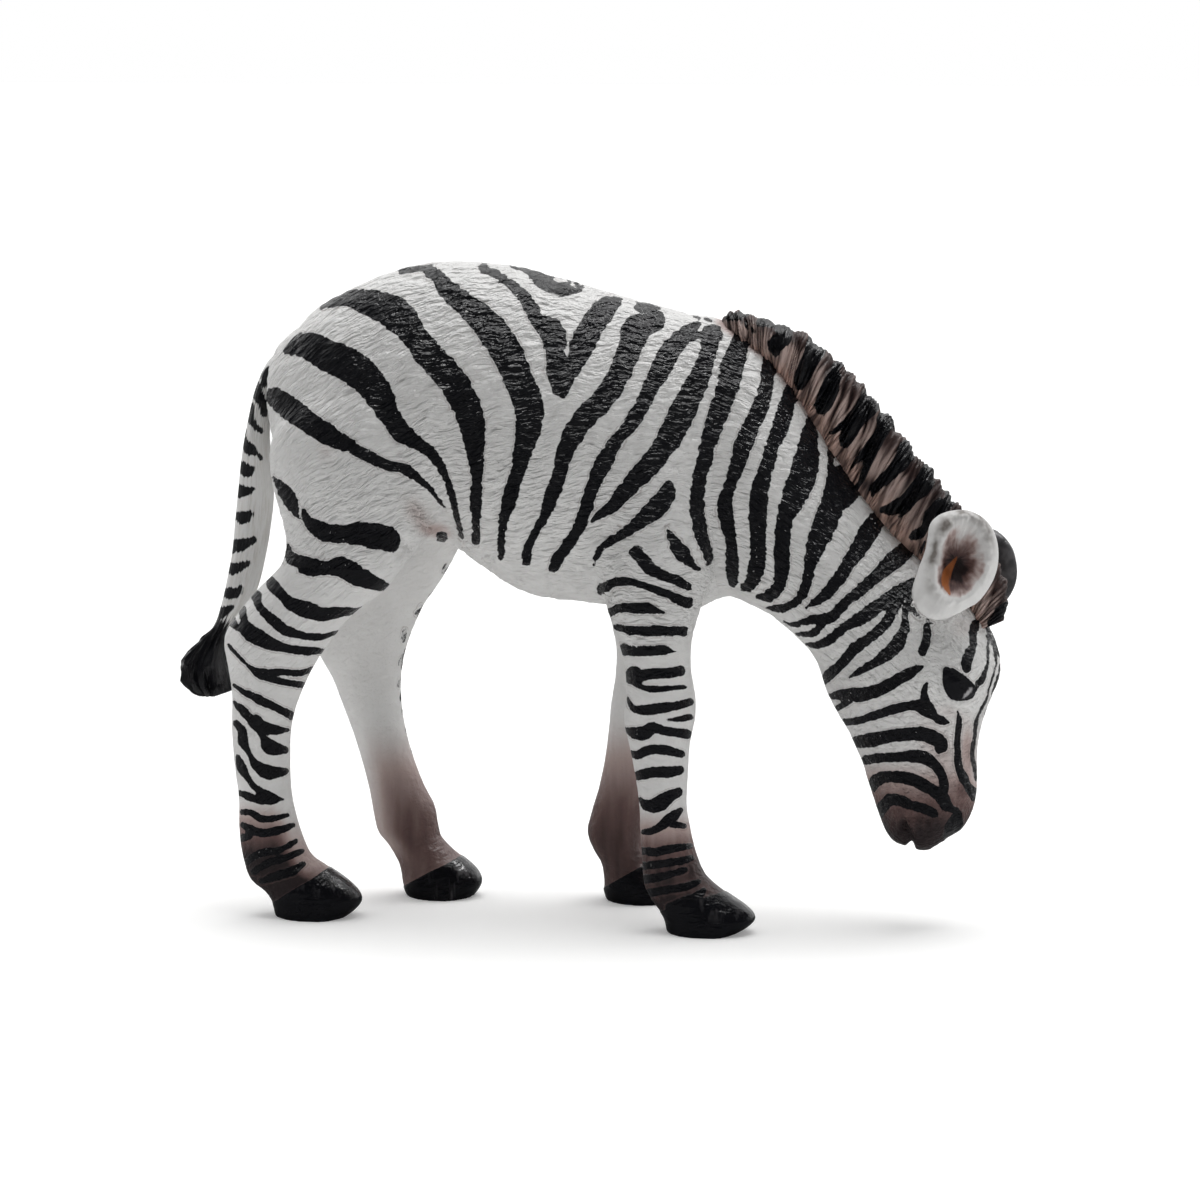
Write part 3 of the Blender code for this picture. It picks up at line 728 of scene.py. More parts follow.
# Narrow folds and creases: a depth in millimetres, and a line of x, y and half width in photo pixels
folds = {
    "mouth": (0.60, ((912, 852, 2.5), (910, 842, 2.5), (907, 832, 2.5), (903, 823, 1.5))),
    "lips": (0.25, ((904, 822, 1), (915, 816, 1), (928, 822, 1))),
    "nostril": (0.28, ((956, 815, 3), (952, 826, 6), (948, 836, 3.5))),
    "upperLid": (-0.22, ((941, 663, 1), (952, 666, 1.5), (964, 674, 1.5), (977, 689, 1))),
    "lowerLid": (-0.18, ((942, 684, 1), (948, 699, 1.3), (960, 705, 1.3), (975, 699, 1))),
    "lidCrease": (0.18, ((938, 676, 0.6), (941, 695, 1), (952, 709, 1), (968, 709, 0.6))),
    "elbow": (0.22, ((606, 600, 2), (612, 588, 2), (614, 572, 1))),
}


def reliefAt(pixels):
    # the muscles, less the folds, each a groove along its line
    total = mm * bellsAt(muscles, pixels)
    for depth, line in folds.values():
        total -= depth * mm * (1 - rise(strokesAt([line], pixels), -1.5, 3.0))
    return total


def eyeDome(pixels):
    # the eyeball swells out between its lids by the square root of the share of the way in from its rim
    inside = 1 - strokesAt(paint["eye"], pixels)
    return skin["eyeball"] * np.sqrt(np.clip(inside / skin["eyeballRim"], 0, 1))


# Brush strokes in photo pixels: x, y and half width. The brush is black, but for a painted highlight in the
# eye, which stands for a reflection, and the ear's orange streak; "bare" is where the black brush left the
# white open.
paint = {
    "eye": (
        ((946, 670, 3.4), (948, 684, 5.5), (953, 694, 5.5)),
        ((951, 679, 6.5), (957, 688, 11.5), (963, 691, 9), (968, 692, 6.5)),
        ((951, 670, 2.5), (960, 677, 3.5), (969, 685, 3.5), (973, 690, 2.5)),
    ),
    "paintedEyeHighlight": (((963, 695, 1), (967, 691, 1.5), (970, 688, 1)),),
    "earStreak": (
        ((957, 557, 1), (951, 566, 3.5), (946, 576, 4.8), (946, 586, 3.5), (950, 595, 0.8)),
    ),
    "spot": (((440, 540, 4.2), (442, 541, 4.2)),),
    "nostril": (((957, 814, 4.5), (953, 825, 8.5), (948, 837, 5)),),
    "bare": (
        ((556, 279, 1.5), (562, 281, 2), (568, 278, 1.5)),
        ((572, 284, 1.5), (577, 287, 1)),
    ),
    "rump": (
        (
            (400, 272, 2.5), (430, 270, 4.5), (447, 289, 9.5), (471, 309, 12), (492, 330, 15.5),
            (509, 356, 15.5), (519, 381, 15), (529, 405, 15), (528, 430, 12.5), (522, 455, 9),
            (515, 480, 7.5), (508, 504, 7), (502, 530, 4), (501, 557, 4),
        ),
        ((426, 267, 2), (433, 269, 4), (430, 272, 6)),
        (
            (322, 307, 2), (345, 299, 7.5), (370, 303, 13), (396, 314, 17), (413, 334, 13), (430, 356, 14),
            (450, 378, 14.5), (464, 400, 14.5), (472, 424, 13), (475, 450, 9.5), (477, 475, 6),
            (476, 500, 6), (476, 525, 4), (476, 542, 4.5),
        ),
        (
            (288, 350, 5), (305, 345, 13), (331, 357, 16), (357, 370, 16.5), (377, 392, 14.5),
            (389, 415, 10.5), (402, 433, 10), (420, 445, 7), (436, 459, 5), (447, 481, 3.5), (454, 506, 3.5),
            (460, 539, 3.3),
        ),
        (
            (275, 397, 9.5), (291, 409, 12), (310, 423, 10.5), (329, 435, 10.5), (350, 446, 7),
            (370, 457, 6.5), (390, 466, 5), (405, 469, 6), (419, 479, 4), (432, 492, 3), (443, 509, 1.5),
        ),
        ((273, 477, 1), (283, 489, 6), (291, 501, 7.5), (297, 515, 2.5), (300, 518, 1)),
        (
            (303, 509, 1.5), (310, 522, 6), (325, 532, 9.5), (345, 534, 9.5), (365, 534, 12),
            (385, 538, 12.5), (390, 540, 11.5),
        ),
    ),
    "back": (
        (
            (483, 268, 5), (500, 277, 4.5), (516, 289, 5), (529, 304, 7), (538, 320, 7.5), (553, 334, 13),
            (555, 352, 9.5), (560, 372, 13), (562, 388, 9),
        ),
        (
            (620, 300, 2.5), (606, 308, 11), (594, 323, 12), (584, 340, 13), (577, 358, 9.5),
            (567, 376, 9), (559, 389, 7),
        ),
        ((512, 267, 1.5), (528, 272, 3), (543, 281, 8.5), (556, 286, 9.5), (570, 291, 4.5), (582, 286, 3)),
        ((520, 266, 1), (545, 269, 3), (563, 280, 2.5), (578, 286, 3.5)),
        ((640, 307, 5.5), (651, 314, 8), (655, 323, 9)),
        (
            (658, 319, 7.5), (638, 328, 14.5), (630, 348, 12), (619, 374, 11.5), (605, 397, 11.5),
            (583, 420, 11), (572, 436, 10.5), (564, 455, 8.5), (559, 475, 7), (552, 495, 7.5),
            (545, 515, 5), (536, 531, 4), (528, 549, 5), (527, 562, 4.5),
        ),
        (
            (698, 324, 3), (684, 336, 8.5), (670, 351, 10.5), (661, 369, 10.5), (650, 388, 8),
            (642, 406, 7.5), (630, 425, 7.5), (616, 441, 6.5), (604, 462, 8.5), (593, 485, 7),
            (586, 508, 6.5), (577, 531, 6), (566, 548, 6), (556, 562, 6), (554, 568, 5),
        ),
        (
            (712, 335, 11), (708, 352, 8.5), (701, 373, 10), (689, 398, 12.5), (674, 429, 13),
            (660, 452, 11), (644, 471, 11), (627, 489, 8.5), (610, 508, 6.5), (596, 517, 3.5),
            (592, 522, 1),
        ),
        ((690, 336, 6.5), (700, 335, 3.5), (711, 335, 5.5)),
        (
            (741, 340, 9), (734, 360, 11.5), (730, 380, 11), (723, 400, 10.5), (714, 425, 9.5),
            (707, 450, 8.5), (699, 480, 7), (697, 510, 7.5), (701, 535, 7), (707, 553, 5.5), (707, 562, 3),
        ),
        ((636, 302, 1), (644, 304, 1.5)),
        ((653, 307, 1), (659, 309, 1.5)),
        ((693, 316, 1), (699, 318, 1.5)),
        ((705, 319, 1), (711, 321, 1.5)),
    ),
    "shoulder": (
        (
            (594, 565, 1), (598, 553, 3.5), (608, 543, 4), (621, 535, 4), (636, 525, 6.5), (650, 513, 9.5),
            (662, 502, 10), (668, 491, 7.5), (669, 485, 4.5),
        ),
        ((637, 553, 7.5), (644, 561, 7), (652, 570, 6), (665, 576, 5.5), (679, 581, 4.5), (688, 587, 4)),
        ((667, 529, 1), (673, 540, 5), (681, 552, 8), (689, 562, 4.5), (697, 569, 2)),
    ),
    "neck": (
        (
            (770, 355, 8), (767, 380, 7), (761, 405, 8.5), (751, 427, 8.5), (742, 449, 9), (736, 470, 7),
            (728, 490, 6.5), (725, 510, 8), (731, 540, 6), (732, 565, 6.5), (733, 582, 5),
        ),
        (
            (795, 386, 8.5), (787, 404, 8), (781, 425, 9), (773, 444, 7), (767, 465, 7.5), (761, 485, 8.5),
            (758, 510, 9.5), (758, 540, 8), (757, 565, 8.5), (751, 584, 6.5), (745, 587, 4.5),
        ),
        (
            (812, 417, 5), (809, 435, 8), (807, 455, 12), (803, 475, 14), (794, 497, 12.5), (785, 518, 9),
            (782, 540, 8), (782, 560, 8), (780, 583, 6.5), (769, 596, 6), (757, 597, 2.5),
        ),
        (
            (831, 450, 4), (832, 469, 4.5), (843, 485, 18), (833, 504, 12.5), (825, 524, 12),
            (816, 545, 10), (810, 565, 6.5), (807, 582, 5.5), (799, 599, 4.5), (783, 608, 4.5),
            (768, 607, 1.5),
        ),
        ((845, 472, 3), (858, 492, 4)),
        (
            (881, 515, 7), (870, 530, 10), (859, 548, 8.5), (848, 564, 7.5), (837, 581, 6.5),
            (823, 597, 5.5), (807, 607, 2),
        ),
        (
            (908, 548, 8.5), (894, 560, 9.5), (879, 574, 7), (863, 588, 6), (846, 602, 5.5),
            (831, 617, 5.5), (810, 620, 4), (792, 625, 2.5), (784, 622, 1.5),
        ),
        ((797, 634, 1.5), (812, 634, 4), (821, 626, 3), (828, 622, 2)),
        (
            (914, 578, 1.5), (906, 588, 7), (894, 598, 9.5), (880, 605, 7), (863, 617, 7), (845, 627, 5),
            (829, 640, 5), (817, 645, 4), (806, 644, 1.5),
        ),
        (
            (911, 590, 1.5), (900, 596, 4), (894, 606, 6), (889, 618, 5.5), (881, 628, 5.5), (870, 638, 5),
            (855, 648, 6), (841, 664, 5), (829, 675, 5.5), (824, 682, 3),
        ),
        (
            (910, 590, 2), (908, 603, 3.5), (905, 615, 3.5), (905, 628, 4.5), (900, 639, 6.5),
            (895, 647, 7), (885, 656, 6.5), (873, 664, 4.5), (860, 671, 3.5), (850, 677, 1.5),
        ),
    ),
    "head": (
        (
            (924, 666, 1), (919, 668, 3), (910, 673, 6), (901, 678, 6), (887, 686, 6.5), (874, 691, 6.5),
            (860, 694, 7.5), (845, 694, 6), (832, 696, 3.5),
        ),
        ((850, 700, 4), (838, 708, 3)),
        ((927, 626, 3.5), (927, 635, 4), (925, 645, 5), (922, 652, 3.5), (924, 655, 1.5)),
        (
            (845, 722, 3.5), (860, 720, 4), (880, 713, 5), (900, 707, 5), (915, 706, 5), (925, 708, 8.5),
            (934, 716, 4.5), (942, 721, 4.5), (950, 723, 1),
        ),
        ((928, 682, 1), (925, 687, 3), (924, 695, 4), (926, 702, 4)),
        (
            (857, 742, 6), (870, 740, 7.5), (890, 736, 6.5), (910, 734, 7), (925, 735, 7.5), (939, 741, 7),
            (942, 747, 6), (940, 749, 5.5),
        ),
        (
            (866, 760, 5), (880, 758, 5), (900, 757, 5), (915, 756, 6.5), (926, 759, 6.5), (936, 766, 5.5),
            (942, 776, 5), (944, 786, 5), (942, 795, 5.5), (945, 803, 5.5), (950, 808, 4), (956, 810, 3),
        ),
        (
            (874, 789, 3), (875, 782, 6.5), (884, 777, 6), (897, 777, 6), (910, 779, 6.5), (922, 784, 6.5),
            (932, 790, 6), (941, 796, 7), (946, 805, 6),
        ),
        (
            (881, 818, 1), (881, 810, 6), (886, 803, 6), (890, 800, 6.5), (899, 800, 5.5), (912, 805, 5),
            (925, 809, 5), (933, 813, 4.5), (936, 815, 2),
        ),
        (
            (958, 712, 1), (959, 722, 3), (957, 740, 3.5), (957, 752, 3.5), (957, 762, 4), (960, 771, 4),
            (964, 779, 5), (968, 787, 4), (974, 794, 5.5), (973, 800, 1.5),
        ),
        (
            (978, 618, 2), (974, 628, 5), (973, 636, 4), (973, 645, 3.5), (969, 653, 5.5), (966, 660, 5.5),
            (966, 668, 5),
        ),
        (
            (986, 623, 1), (988, 632, 1.5), (988, 643, 1.5), (988, 655, 1.5), (987, 665, 1.5),
            (984, 674, 2.5), (981, 681, 3.5), (976, 685, 3),
        ),
        (
            (989, 626, 1), (991, 637, 1), (994, 648, 1.5), (996, 659, 1.5), (995, 670, 1), (992, 680, 1),
            (988, 692, 1), (986, 700, 1.5), (980, 712, 1.5), (976, 722, 2), (974, 740, 2), (972, 755, 2.5),
            (975, 770, 2), (976, 780, 1.5),
        ),
        ((992, 626, 2.5), (995, 634, 2.5), (996, 643, 5), (1001, 650, 1.5), (1004, 655, 1.5)),
        ((997, 645, 4.5), (998, 652, 1.5), (999, 656, 1)),
        ((1001, 658, 1), (1003, 668, 1.5), (1003, 671, 1.5)),
        ((1000, 665, 1), (998, 675, 1), (994, 688, 1.5), (991, 700, 1), (985, 715, 1)),
        ((912, 600, 1), (914, 609, 1), (920, 616, 1), (928, 620, 1)),
        ((911, 609, 1), (915, 615, 1.5), (921, 619, 1)),
        ((925, 621, 1), (930, 623, 1), (934, 624, 0.5)),
    ),
    "hindleg": (
        (
            (288, 546, 2.5), (291, 557, 6), (301, 563, 8), (310, 567, 9.5), (325, 568, 7),
            (342, 567, 10.5), (358, 576, 10), (377, 584, 7), (387, 586, 3),
        ),
        (
            (271, 577, 1.5), (272, 584, 6), (283, 596, 5.5), (291, 604, 6.5), (305, 609, 8.5),
            (320, 614, 7.5), (338, 612, 5.5), (352, 611, 3.5), (362, 608, 1.5),
        ),
        (
            (256, 595, 5.5), (259, 606, 4), (272, 620, 5.5), (285, 630, 5.5), (300, 635, 4),
            (320, 637, 3.5), (338, 632, 1.5),
        ),
        (
            (243, 610, 4), (244, 621, 4), (249, 631, 8), (264, 641, 7.5), (285, 648, 4.5), (305, 651, 4.5),
            (322, 651, 3),
        ),
        ((230, 619, 5), (236, 626, 3.5), (242, 631, 1.5)),
        (
            (229, 645, 2), (238, 655, 2), (248, 666, 2), (262, 674, 5.5), (280, 672, 3.5), (300, 673, 3.5),
            (314, 668, 2),
        ),
        ((261, 674, 5.5), (279, 681, 3.5), (303, 685, 3.5)),
        ((234, 685, 2), (245, 693, 3), (260, 700, 5), (275, 707, 4), (292, 716, 4.5)),
        ((234, 702, 1.5), (242, 710, 4.5), (249, 718, 4), (259, 726, 7), (277, 730, 4.5), (288, 730, 2)),
        ((256, 722, 7.5), (263, 736, 3.5), (270, 747, 7.5), (285, 750, 4)),
        (
            (236, 723, 3.5), (242, 731, 4.5), (243, 742, 5), (249, 753, 2.5), (255, 764, 4.5),
            (267, 772, 7.5), (280, 772, 5), (286, 771, 3),
        ),
        (
            (238, 757, 2.5), (242, 768, 5), (249, 780, 3), (258, 790, 4), (268, 798, 7), (280, 799, 2),
            (284, 800, 1),
        ),
        ((240, 793, 3), (250, 797, 4), (262, 801, 4)),
        ((243, 812, 3), (252, 813, 3), (262, 819, 4), (275, 818, 3), (288, 815, 2)),
        ((243, 825, 3), (250, 829, 4), (262, 833, 4.5), (280, 830, 4), (293, 825, 2.5)),
        ((243, 838, 4), (248, 836, 4)),
        ((247, 862, 3), (255, 856, 4), (265, 852, 4), (280, 850, 3.5), (296, 841, 2.5)),
        ((255, 871, 3.5), (268, 863, 4), (282, 859, 4), (302, 851, 3)),
        ((262, 881, 3), (276, 876, 4.5), (292, 871, 4.5), (303, 864, 3)),
    ),
    "foreleg": (
        (
            (602, 589, 5.5), (612, 583, 4.5), (622, 581, 4), (640, 584, 4.5), (660, 591, 4.5),
            (674, 597, 4.5), (688, 603, 6),
        ),
        ((610, 612, 4.5), (622, 608, 4.5), (640, 608, 5.5), (652, 609, 4), (664, 613, 1)),
        ((616, 627, 3), (630, 630, 4.5), (650, 631, 5.5), (670, 631, 5.5), (683, 631, 5)),
        ((622, 650, 5), (640, 652, 4.5), (660, 651, 4.5), (676, 651, 1)),
        ((629, 672, 2), (632, 677, 7.5), (650, 674, 5.5), (668, 673, 5.5), (680, 671, 5.5)),
        ((634, 675, 9), (640, 686, 3), (655, 689, 3.5), (685, 687, 2)),
        ((628, 698, 1.5), (633, 708, 3.5), (645, 710, 5), (660, 708, 5.5), (675, 706, 4.5), (690, 702, 4)),
        ((667, 720, 1), (680, 719, 3), (690, 717, 3.5)),
        ((626, 729, 2), (635, 733, 6), (645, 733, 7), (653, 728, 6), (665, 731, 4.5), (687, 734, 5)),
        ((631, 752, 2), (637, 755, 4.5), (650, 750, 5), (665, 750, 5), (681, 754, 4)),
        ((636, 776, 4.5), (645, 774, 5.5), (655, 772, 5.5), (668, 772, 6), (680, 770, 4.5)),
        ((640, 799, 2), (648, 806, 6), (659, 804, 8), (668, 797, 6.5), (679, 792, 4.5)),
        ((643, 832, 2.5), (652, 831, 4), (661, 826, 4.5), (671, 818, 6), (681, 810, 2.5)),
        ((672, 824, 4), (684, 826, 3)),
        ((643, 851, 4), (655, 852, 4.5), (670, 849, 4.5), (690, 846, 3)),
        ((644, 866, 4), (660, 864, 4), (680, 861, 4), (692, 858, 3)),
        ((645, 879, 4.5), (660, 877, 4), (685, 870, 3)),
        ((650, 893, 4.5), (665, 890, 4), (685, 887, 4), (698, 882, 3)),
        ((669, 907, 3.5), (681, 902, 4), (696, 896, 4), (703, 890, 3)),
    ),
    "mane": (
        ((728, 317, 3.5), (738, 316, 4.5), (748, 313, 2)),
        ((745, 322, 1.5), (746, 326, 2), (747, 330, 1)),
        ((751, 326, 1), (753, 330, 2), (754, 333, 1)),
        ((760, 322, 4), (768, 322, 4.5), (777, 325, 3.5)),
        ((782, 324, 8), (784, 337, 8.5), (775, 345, 8), (776, 352, 4.5)),
        ((817, 335, 8), (815, 350, 10), (807, 366, 8.5), (801, 378, 8), (800, 386, 4.5)),
        ((841, 360, 5), (836, 369, 4.5), (834, 380, 7), (830, 393, 7), (824, 406, 8), (818, 412, 1.5)),
        ((836, 370, 4), (828, 382, 5), (822, 392, 4), (817, 403, 2), (814, 405, 1)),
        ((837, 391, 2), (831, 404, 1.5), (824, 416, 1)),
        ((871, 395, 8), (869, 403, 12), (862, 413, 10.5), (853, 424, 10.5), (847, 437, 8), (844, 445, 3.5)),
        ((847, 422, 4), (839, 428, 3.5), (831, 433, 2)),
        (
            (891, 412, 8), (886, 422, 10), (880, 435, 6.5), (872, 447, 7.5), (868, 461, 5),
            (865, 471, 3.5), (860, 482, 3), (856, 488, 3.5),
        ),
        ((878, 436, 6), (869, 446, 4), (859, 457, 3), (851, 468, 1.5)),
        (
            (912, 444, 7), (908, 450, 10), (902, 460, 9), (893, 471, 7), (883, 480, 6), (875, 488, 5),
            (872, 495, 2.5),
        ),
        (
            (932, 466, 7), (927, 473, 7), (923, 484, 9.5), (913, 495, 9), (903, 504, 8.5), (891, 509, 6.5),
            (884, 510, 4),
        ),
        ((911, 507, 2), (905, 513, 1.5), (898, 517, 1)),
        (
            (952, 493, 7), (949, 501, 6.5), (939, 507, 7.5), (929, 515, 6), (925, 527, 4.5), (918, 534, 6),
            (911, 537, 2.5),
        ),
        ((928, 511, 2), (924, 517, 1.5), (920, 521, 1)),
        ((925, 542, 1.5), (922, 550, 2), (921, 556, 1.5)),
        ((991, 623, 4.5), (996, 618, 4.5), (1001, 612, 6.5), (1006, 607, 5.5)),
    ),
    "tail": (
        ((272, 366, 1.5), (269, 376, 7), (264, 385, 2)),
        ((258, 384, 1.5), (258, 394, 4.5), (263, 404, 3.5), (264, 413, 3)),
        ((251, 405, 2), (250, 417, 3.5), (255, 426, 2.5), (261, 431, 1.5)),
        ((244, 430, 1.5), (244, 441, 2.5), (250, 449, 5), (256, 453, 1.5), (261, 458, 1)),
        ((241, 465, 3.5), (247, 471, 5.5), (252, 468, 1.5)),
        ((240, 491, 6), (247, 491, 3.5), (253, 489, 1.5)),
        ((236, 515, 2.5), (243, 518, 5.5), (250, 514, 2.5)),
        ((234, 546, 6), (241, 545, 5.5), (253, 540, 2.5)),
        ((232, 569, 5), (240, 567, 3.5), (248, 563, 2)),
        ((228, 593, 5), (236, 593, 4), (241, 587, 1.5)),
        ((221, 613, 5.5), (227, 610, 3), (232, 607, 1.5)),
    ),
    "farLeg": (
        ((458, 547, 1.5), (456, 552, 2)),
        ((448, 562, 2), (444, 572, 3)),
        ((421, 606, 2), (417, 614, 2.5)),
        ((405, 630, 2), (403, 640, 2.5)),
        ((403, 656, 2), (401, 664, 3)),
        ((401, 678, 2), (400, 686, 2.5)),
    ),
}

# Soft brown shadow sprayed into the hollows, as bellsAt takes it
smudges = (
    (420, 517, 24, 13, 52, 0.26),
    (438, 535, 15, 6, 15, 0.30),
    (940, 824, 16, 12, 0, 0.30),
    (326, 448, 18, 12, 80, 0.16),
    (395, 435, 22, 14, 0, 0.06),
    (735, 325, 16, 8, 30, 0.25),
    (962, 628, 16, 14, 0, 0.16),
    (950, 712, 16, 8, 20, 0.15),
    (968, 750, 8, 30, 0, 0.36),
    (962, 792, 12, 14, 0, 0.62),
    (972, 818, 12, 16, 0, 0.75),
    (915, 800, 40, 26, 0, 0.55),
    (880, 790, 18, 20, 0, 0.35),
    (940, 752, 40, 22, 60, 0.25),
)
stripeGroups = ("rump", "back", "shoulder", "neck", "head", "hindleg", "foreleg")
# The brown on the snout: photo y and amount
snoutSpray = ((735, 0), (760, 0.12), (775, 0.32), (790, 0.58), (805, 0.85), (825, 1.10), (842, 1.25))
# The foot of the mane, and how far its brown shadow reaches from there, in photo pixels
crestLine = (
    (722, 322, 0), (745, 338, 0), (772, 358, 0), (795, 388, 0), (815, 415, 0), (838, 445, 0),
    (862, 482, 0), (885, 512, 0), (912, 540, 0),
)
crestShadow = (0.42, 1, 13)

# Paints. Colours are linear. A grain's numbers are its waves per millimetre of hair space, or per metre of
# Object space.
colours = {
    "white": (0.80, 0.795, 0.785),
    "greyWhite": (0.66, 0.65, 0.64),
    "rimGreyBrown": (0.20, 0.18, 0.165),
    "pink": (0.50, 0.385, 0.36),
    "brown": (0.165, 0.098, 0.090),
    "darkBrown": (0.030, 0.020, 0.021),
    "black": (0.0035, 0.0040, 0.0060),
    "softBlack": (0.0090, 0.0090, 0.0110),
    "highlightGrey": (0.12, 0.115, 0.12),
    "orange": (0.42, 0.13, 0.035),
    "paintedEyeHighlight": (0.42, 0.41, 0.42),
    "maneTan": (0.52, 0.395, 0.355),
    "maneDark": (0.050, 0.025, 0.022),
    "maneRoot": (0.60, 0.400, 0.335),
    "tailGrooveShade": (0.70, 0.68, 0.65),
}
coat = {
    "combed": (1.75, 0.55, 1.0),
    "legCombed": (1500.0, 1500.0, 330.0),
    "crests": (1.5, 0.40, 0.8),
    "fibres": (4.5, 1.2, 2.2),
    "crumbs": 4800.0,
    "streaks": (0.55, 0.9, 1.2),
    "legDrips": (1100.0, 1100.0, 110.0),
    "flecks": (4.2, 2.8, 3.6),
    "wrinkles": (1500.0, 1500.0, 2100.0),
    "hoofRings": (380.0, 380.0, 1700.0),
    "mottle": 420.0,
    "patches": 160.0,
    "clusters": 210.0,
    "blackGrain": 900.0,
    # the amounts of brown at which each colour starts and is full, and how far streaks change the amount on
    # the body and on the legs
    "spray": ((0.02, 0.45, "pink"), (0.30, 0.85, "brown"), (0.75, 1.20, "darkBrown")),
    "uneven": (0.70, 0.36),
    # shares of the colours
    "mottled": 0.30,
    "grooveShading": 0.45,
    "outlined": 0.35,
    "chipped": 0.80,
    # roughness of the white, and how much smoother the black and the hooves are
    "roughness": 0.40,
    "blackGloss": 0.19,
    "hoofGloss": 0.14,
    "crumbRoughness": 0.12,
    "specular": 0.40,
    # heights, as shares of the bump
    "bump": 0.50 * mm,
    "fibreHeight": 0.30,
    "crestDepth": 1.60,
    "filmHeight": 0.07,
    "ringHeight": 0.25,
}


def setInputs(node, inputs):
    # inputs by number or name: a socket is linked, anything else is set as the value
    for key, value in inputs.items():
        if isinstance(value, bpy.types.NodeSocket):
            node.id_data.links.new(value, node.inputs[key])
        else:
            node.inputs[key].default_value = value


def addNode(tree, kind, inputs, **settings):
    made = tree.nodes.new(kind)
    for key, value in settings.items():
        setattr(made, key, value)
    setInputs(made, inputs)
    return made


def readAttribute(tree, name, output="Fac"):
    return addNode(tree, "ShaderNodeAttribute", {}, attribute_name=name).outputs[output]


def readCoordinates(tree, output="Object"):
    return addNode(tree, "ShaderNodeTexCoord", {}).outputs[output]


def calculate(operation, a, b=0.0):
    # a socket knows its own node tree
    tree = (a if isinstance(a, bpy.types.NodeSocket) else b).id_data
    return addNode(tree, "ShaderNodeMath", {0: a, 1: b}, operation=operation).outputs[0]


def plus(total, *others):
    for other in others:
        total = calculate("ADD", total, other)
    return total


def minus(total, *others):
    for other in others:
        total = calculate("SUBTRACT", total, other)
    return total


def times(total, *others):
    for other in others:
        total = calculate("MULTIPLY", total, other)
    return total


def fade(value, low, high):
    # 0 at low, 1 at high, smooth between them; low may be the larger one
    inputs = {"Value": value, "From Min": low, "From Max": high}
    ranged = addNode(value.id_data, "ShaderNodeMapRange", inputs, interpolation_type="SMOOTHSTEP")
    return ranged.outputs["Result"]


def blend(share, a, b):
    return addNode(share.id_data, "ShaderNodeMix", {0: share, 2: a, 3: b}).outputs[0]


def mixColour(share, a, b):
    # a colour is a mix made before, three linear numbers or a name
    inputs = {0: share}
    for key, value in ((6, a), (7, b)):
        value = colours[value] if isinstance(value, str) else value
        inputs[key] = (*value, 1.0) if isinstance(value, tuple) else value
    return addNode(share.id_data, "ShaderNodeMix", inputs, data_type="RGBA").outputs[2]


def layerColours(base, amount, layers):
    # each colour covers the ones before, from nothing at its first amount to all at its second
    for low, high, colour in layers:
        base = mixColour(fade(amount, low, high), base, colour)
    return base


def grainOf(vector, waves, detail=2.0):
    # noise over a vector that is stretched first, by one factor or by one for each axis
    waves = waves if isinstance(waves, tuple) else (waves,) * 3
    scaled = addNode(vector.id_data, "ShaderNodeVectorMath", {0: vector, 1: waves}, operation="MULTIPLY")
    inputs = {"Vector": scaled.outputs[0], "Scale": 1.0, "Detail": detail}
    return addNode(vector.id_data, "ShaderNodeTexNoise", inputs).outputs["Fac"]


def swingOf(vector, waves, detail=2.0):
    # the same noise, as it swings about 0
    return minus(grainOf(vector, waves, detail), 0.5)


def bumpOf(height, distance):
    return addNode(height.id_data, "ShaderNodeBump", {"Height": height, "Distance": distance}).outputs[0]


def startMaterial(name):
    material = bpy.data.materials.new(name)
    material.use_nodes = True
    tree = material.node_tree
    return material, tree, tree.nodes["Principled BSDF"]


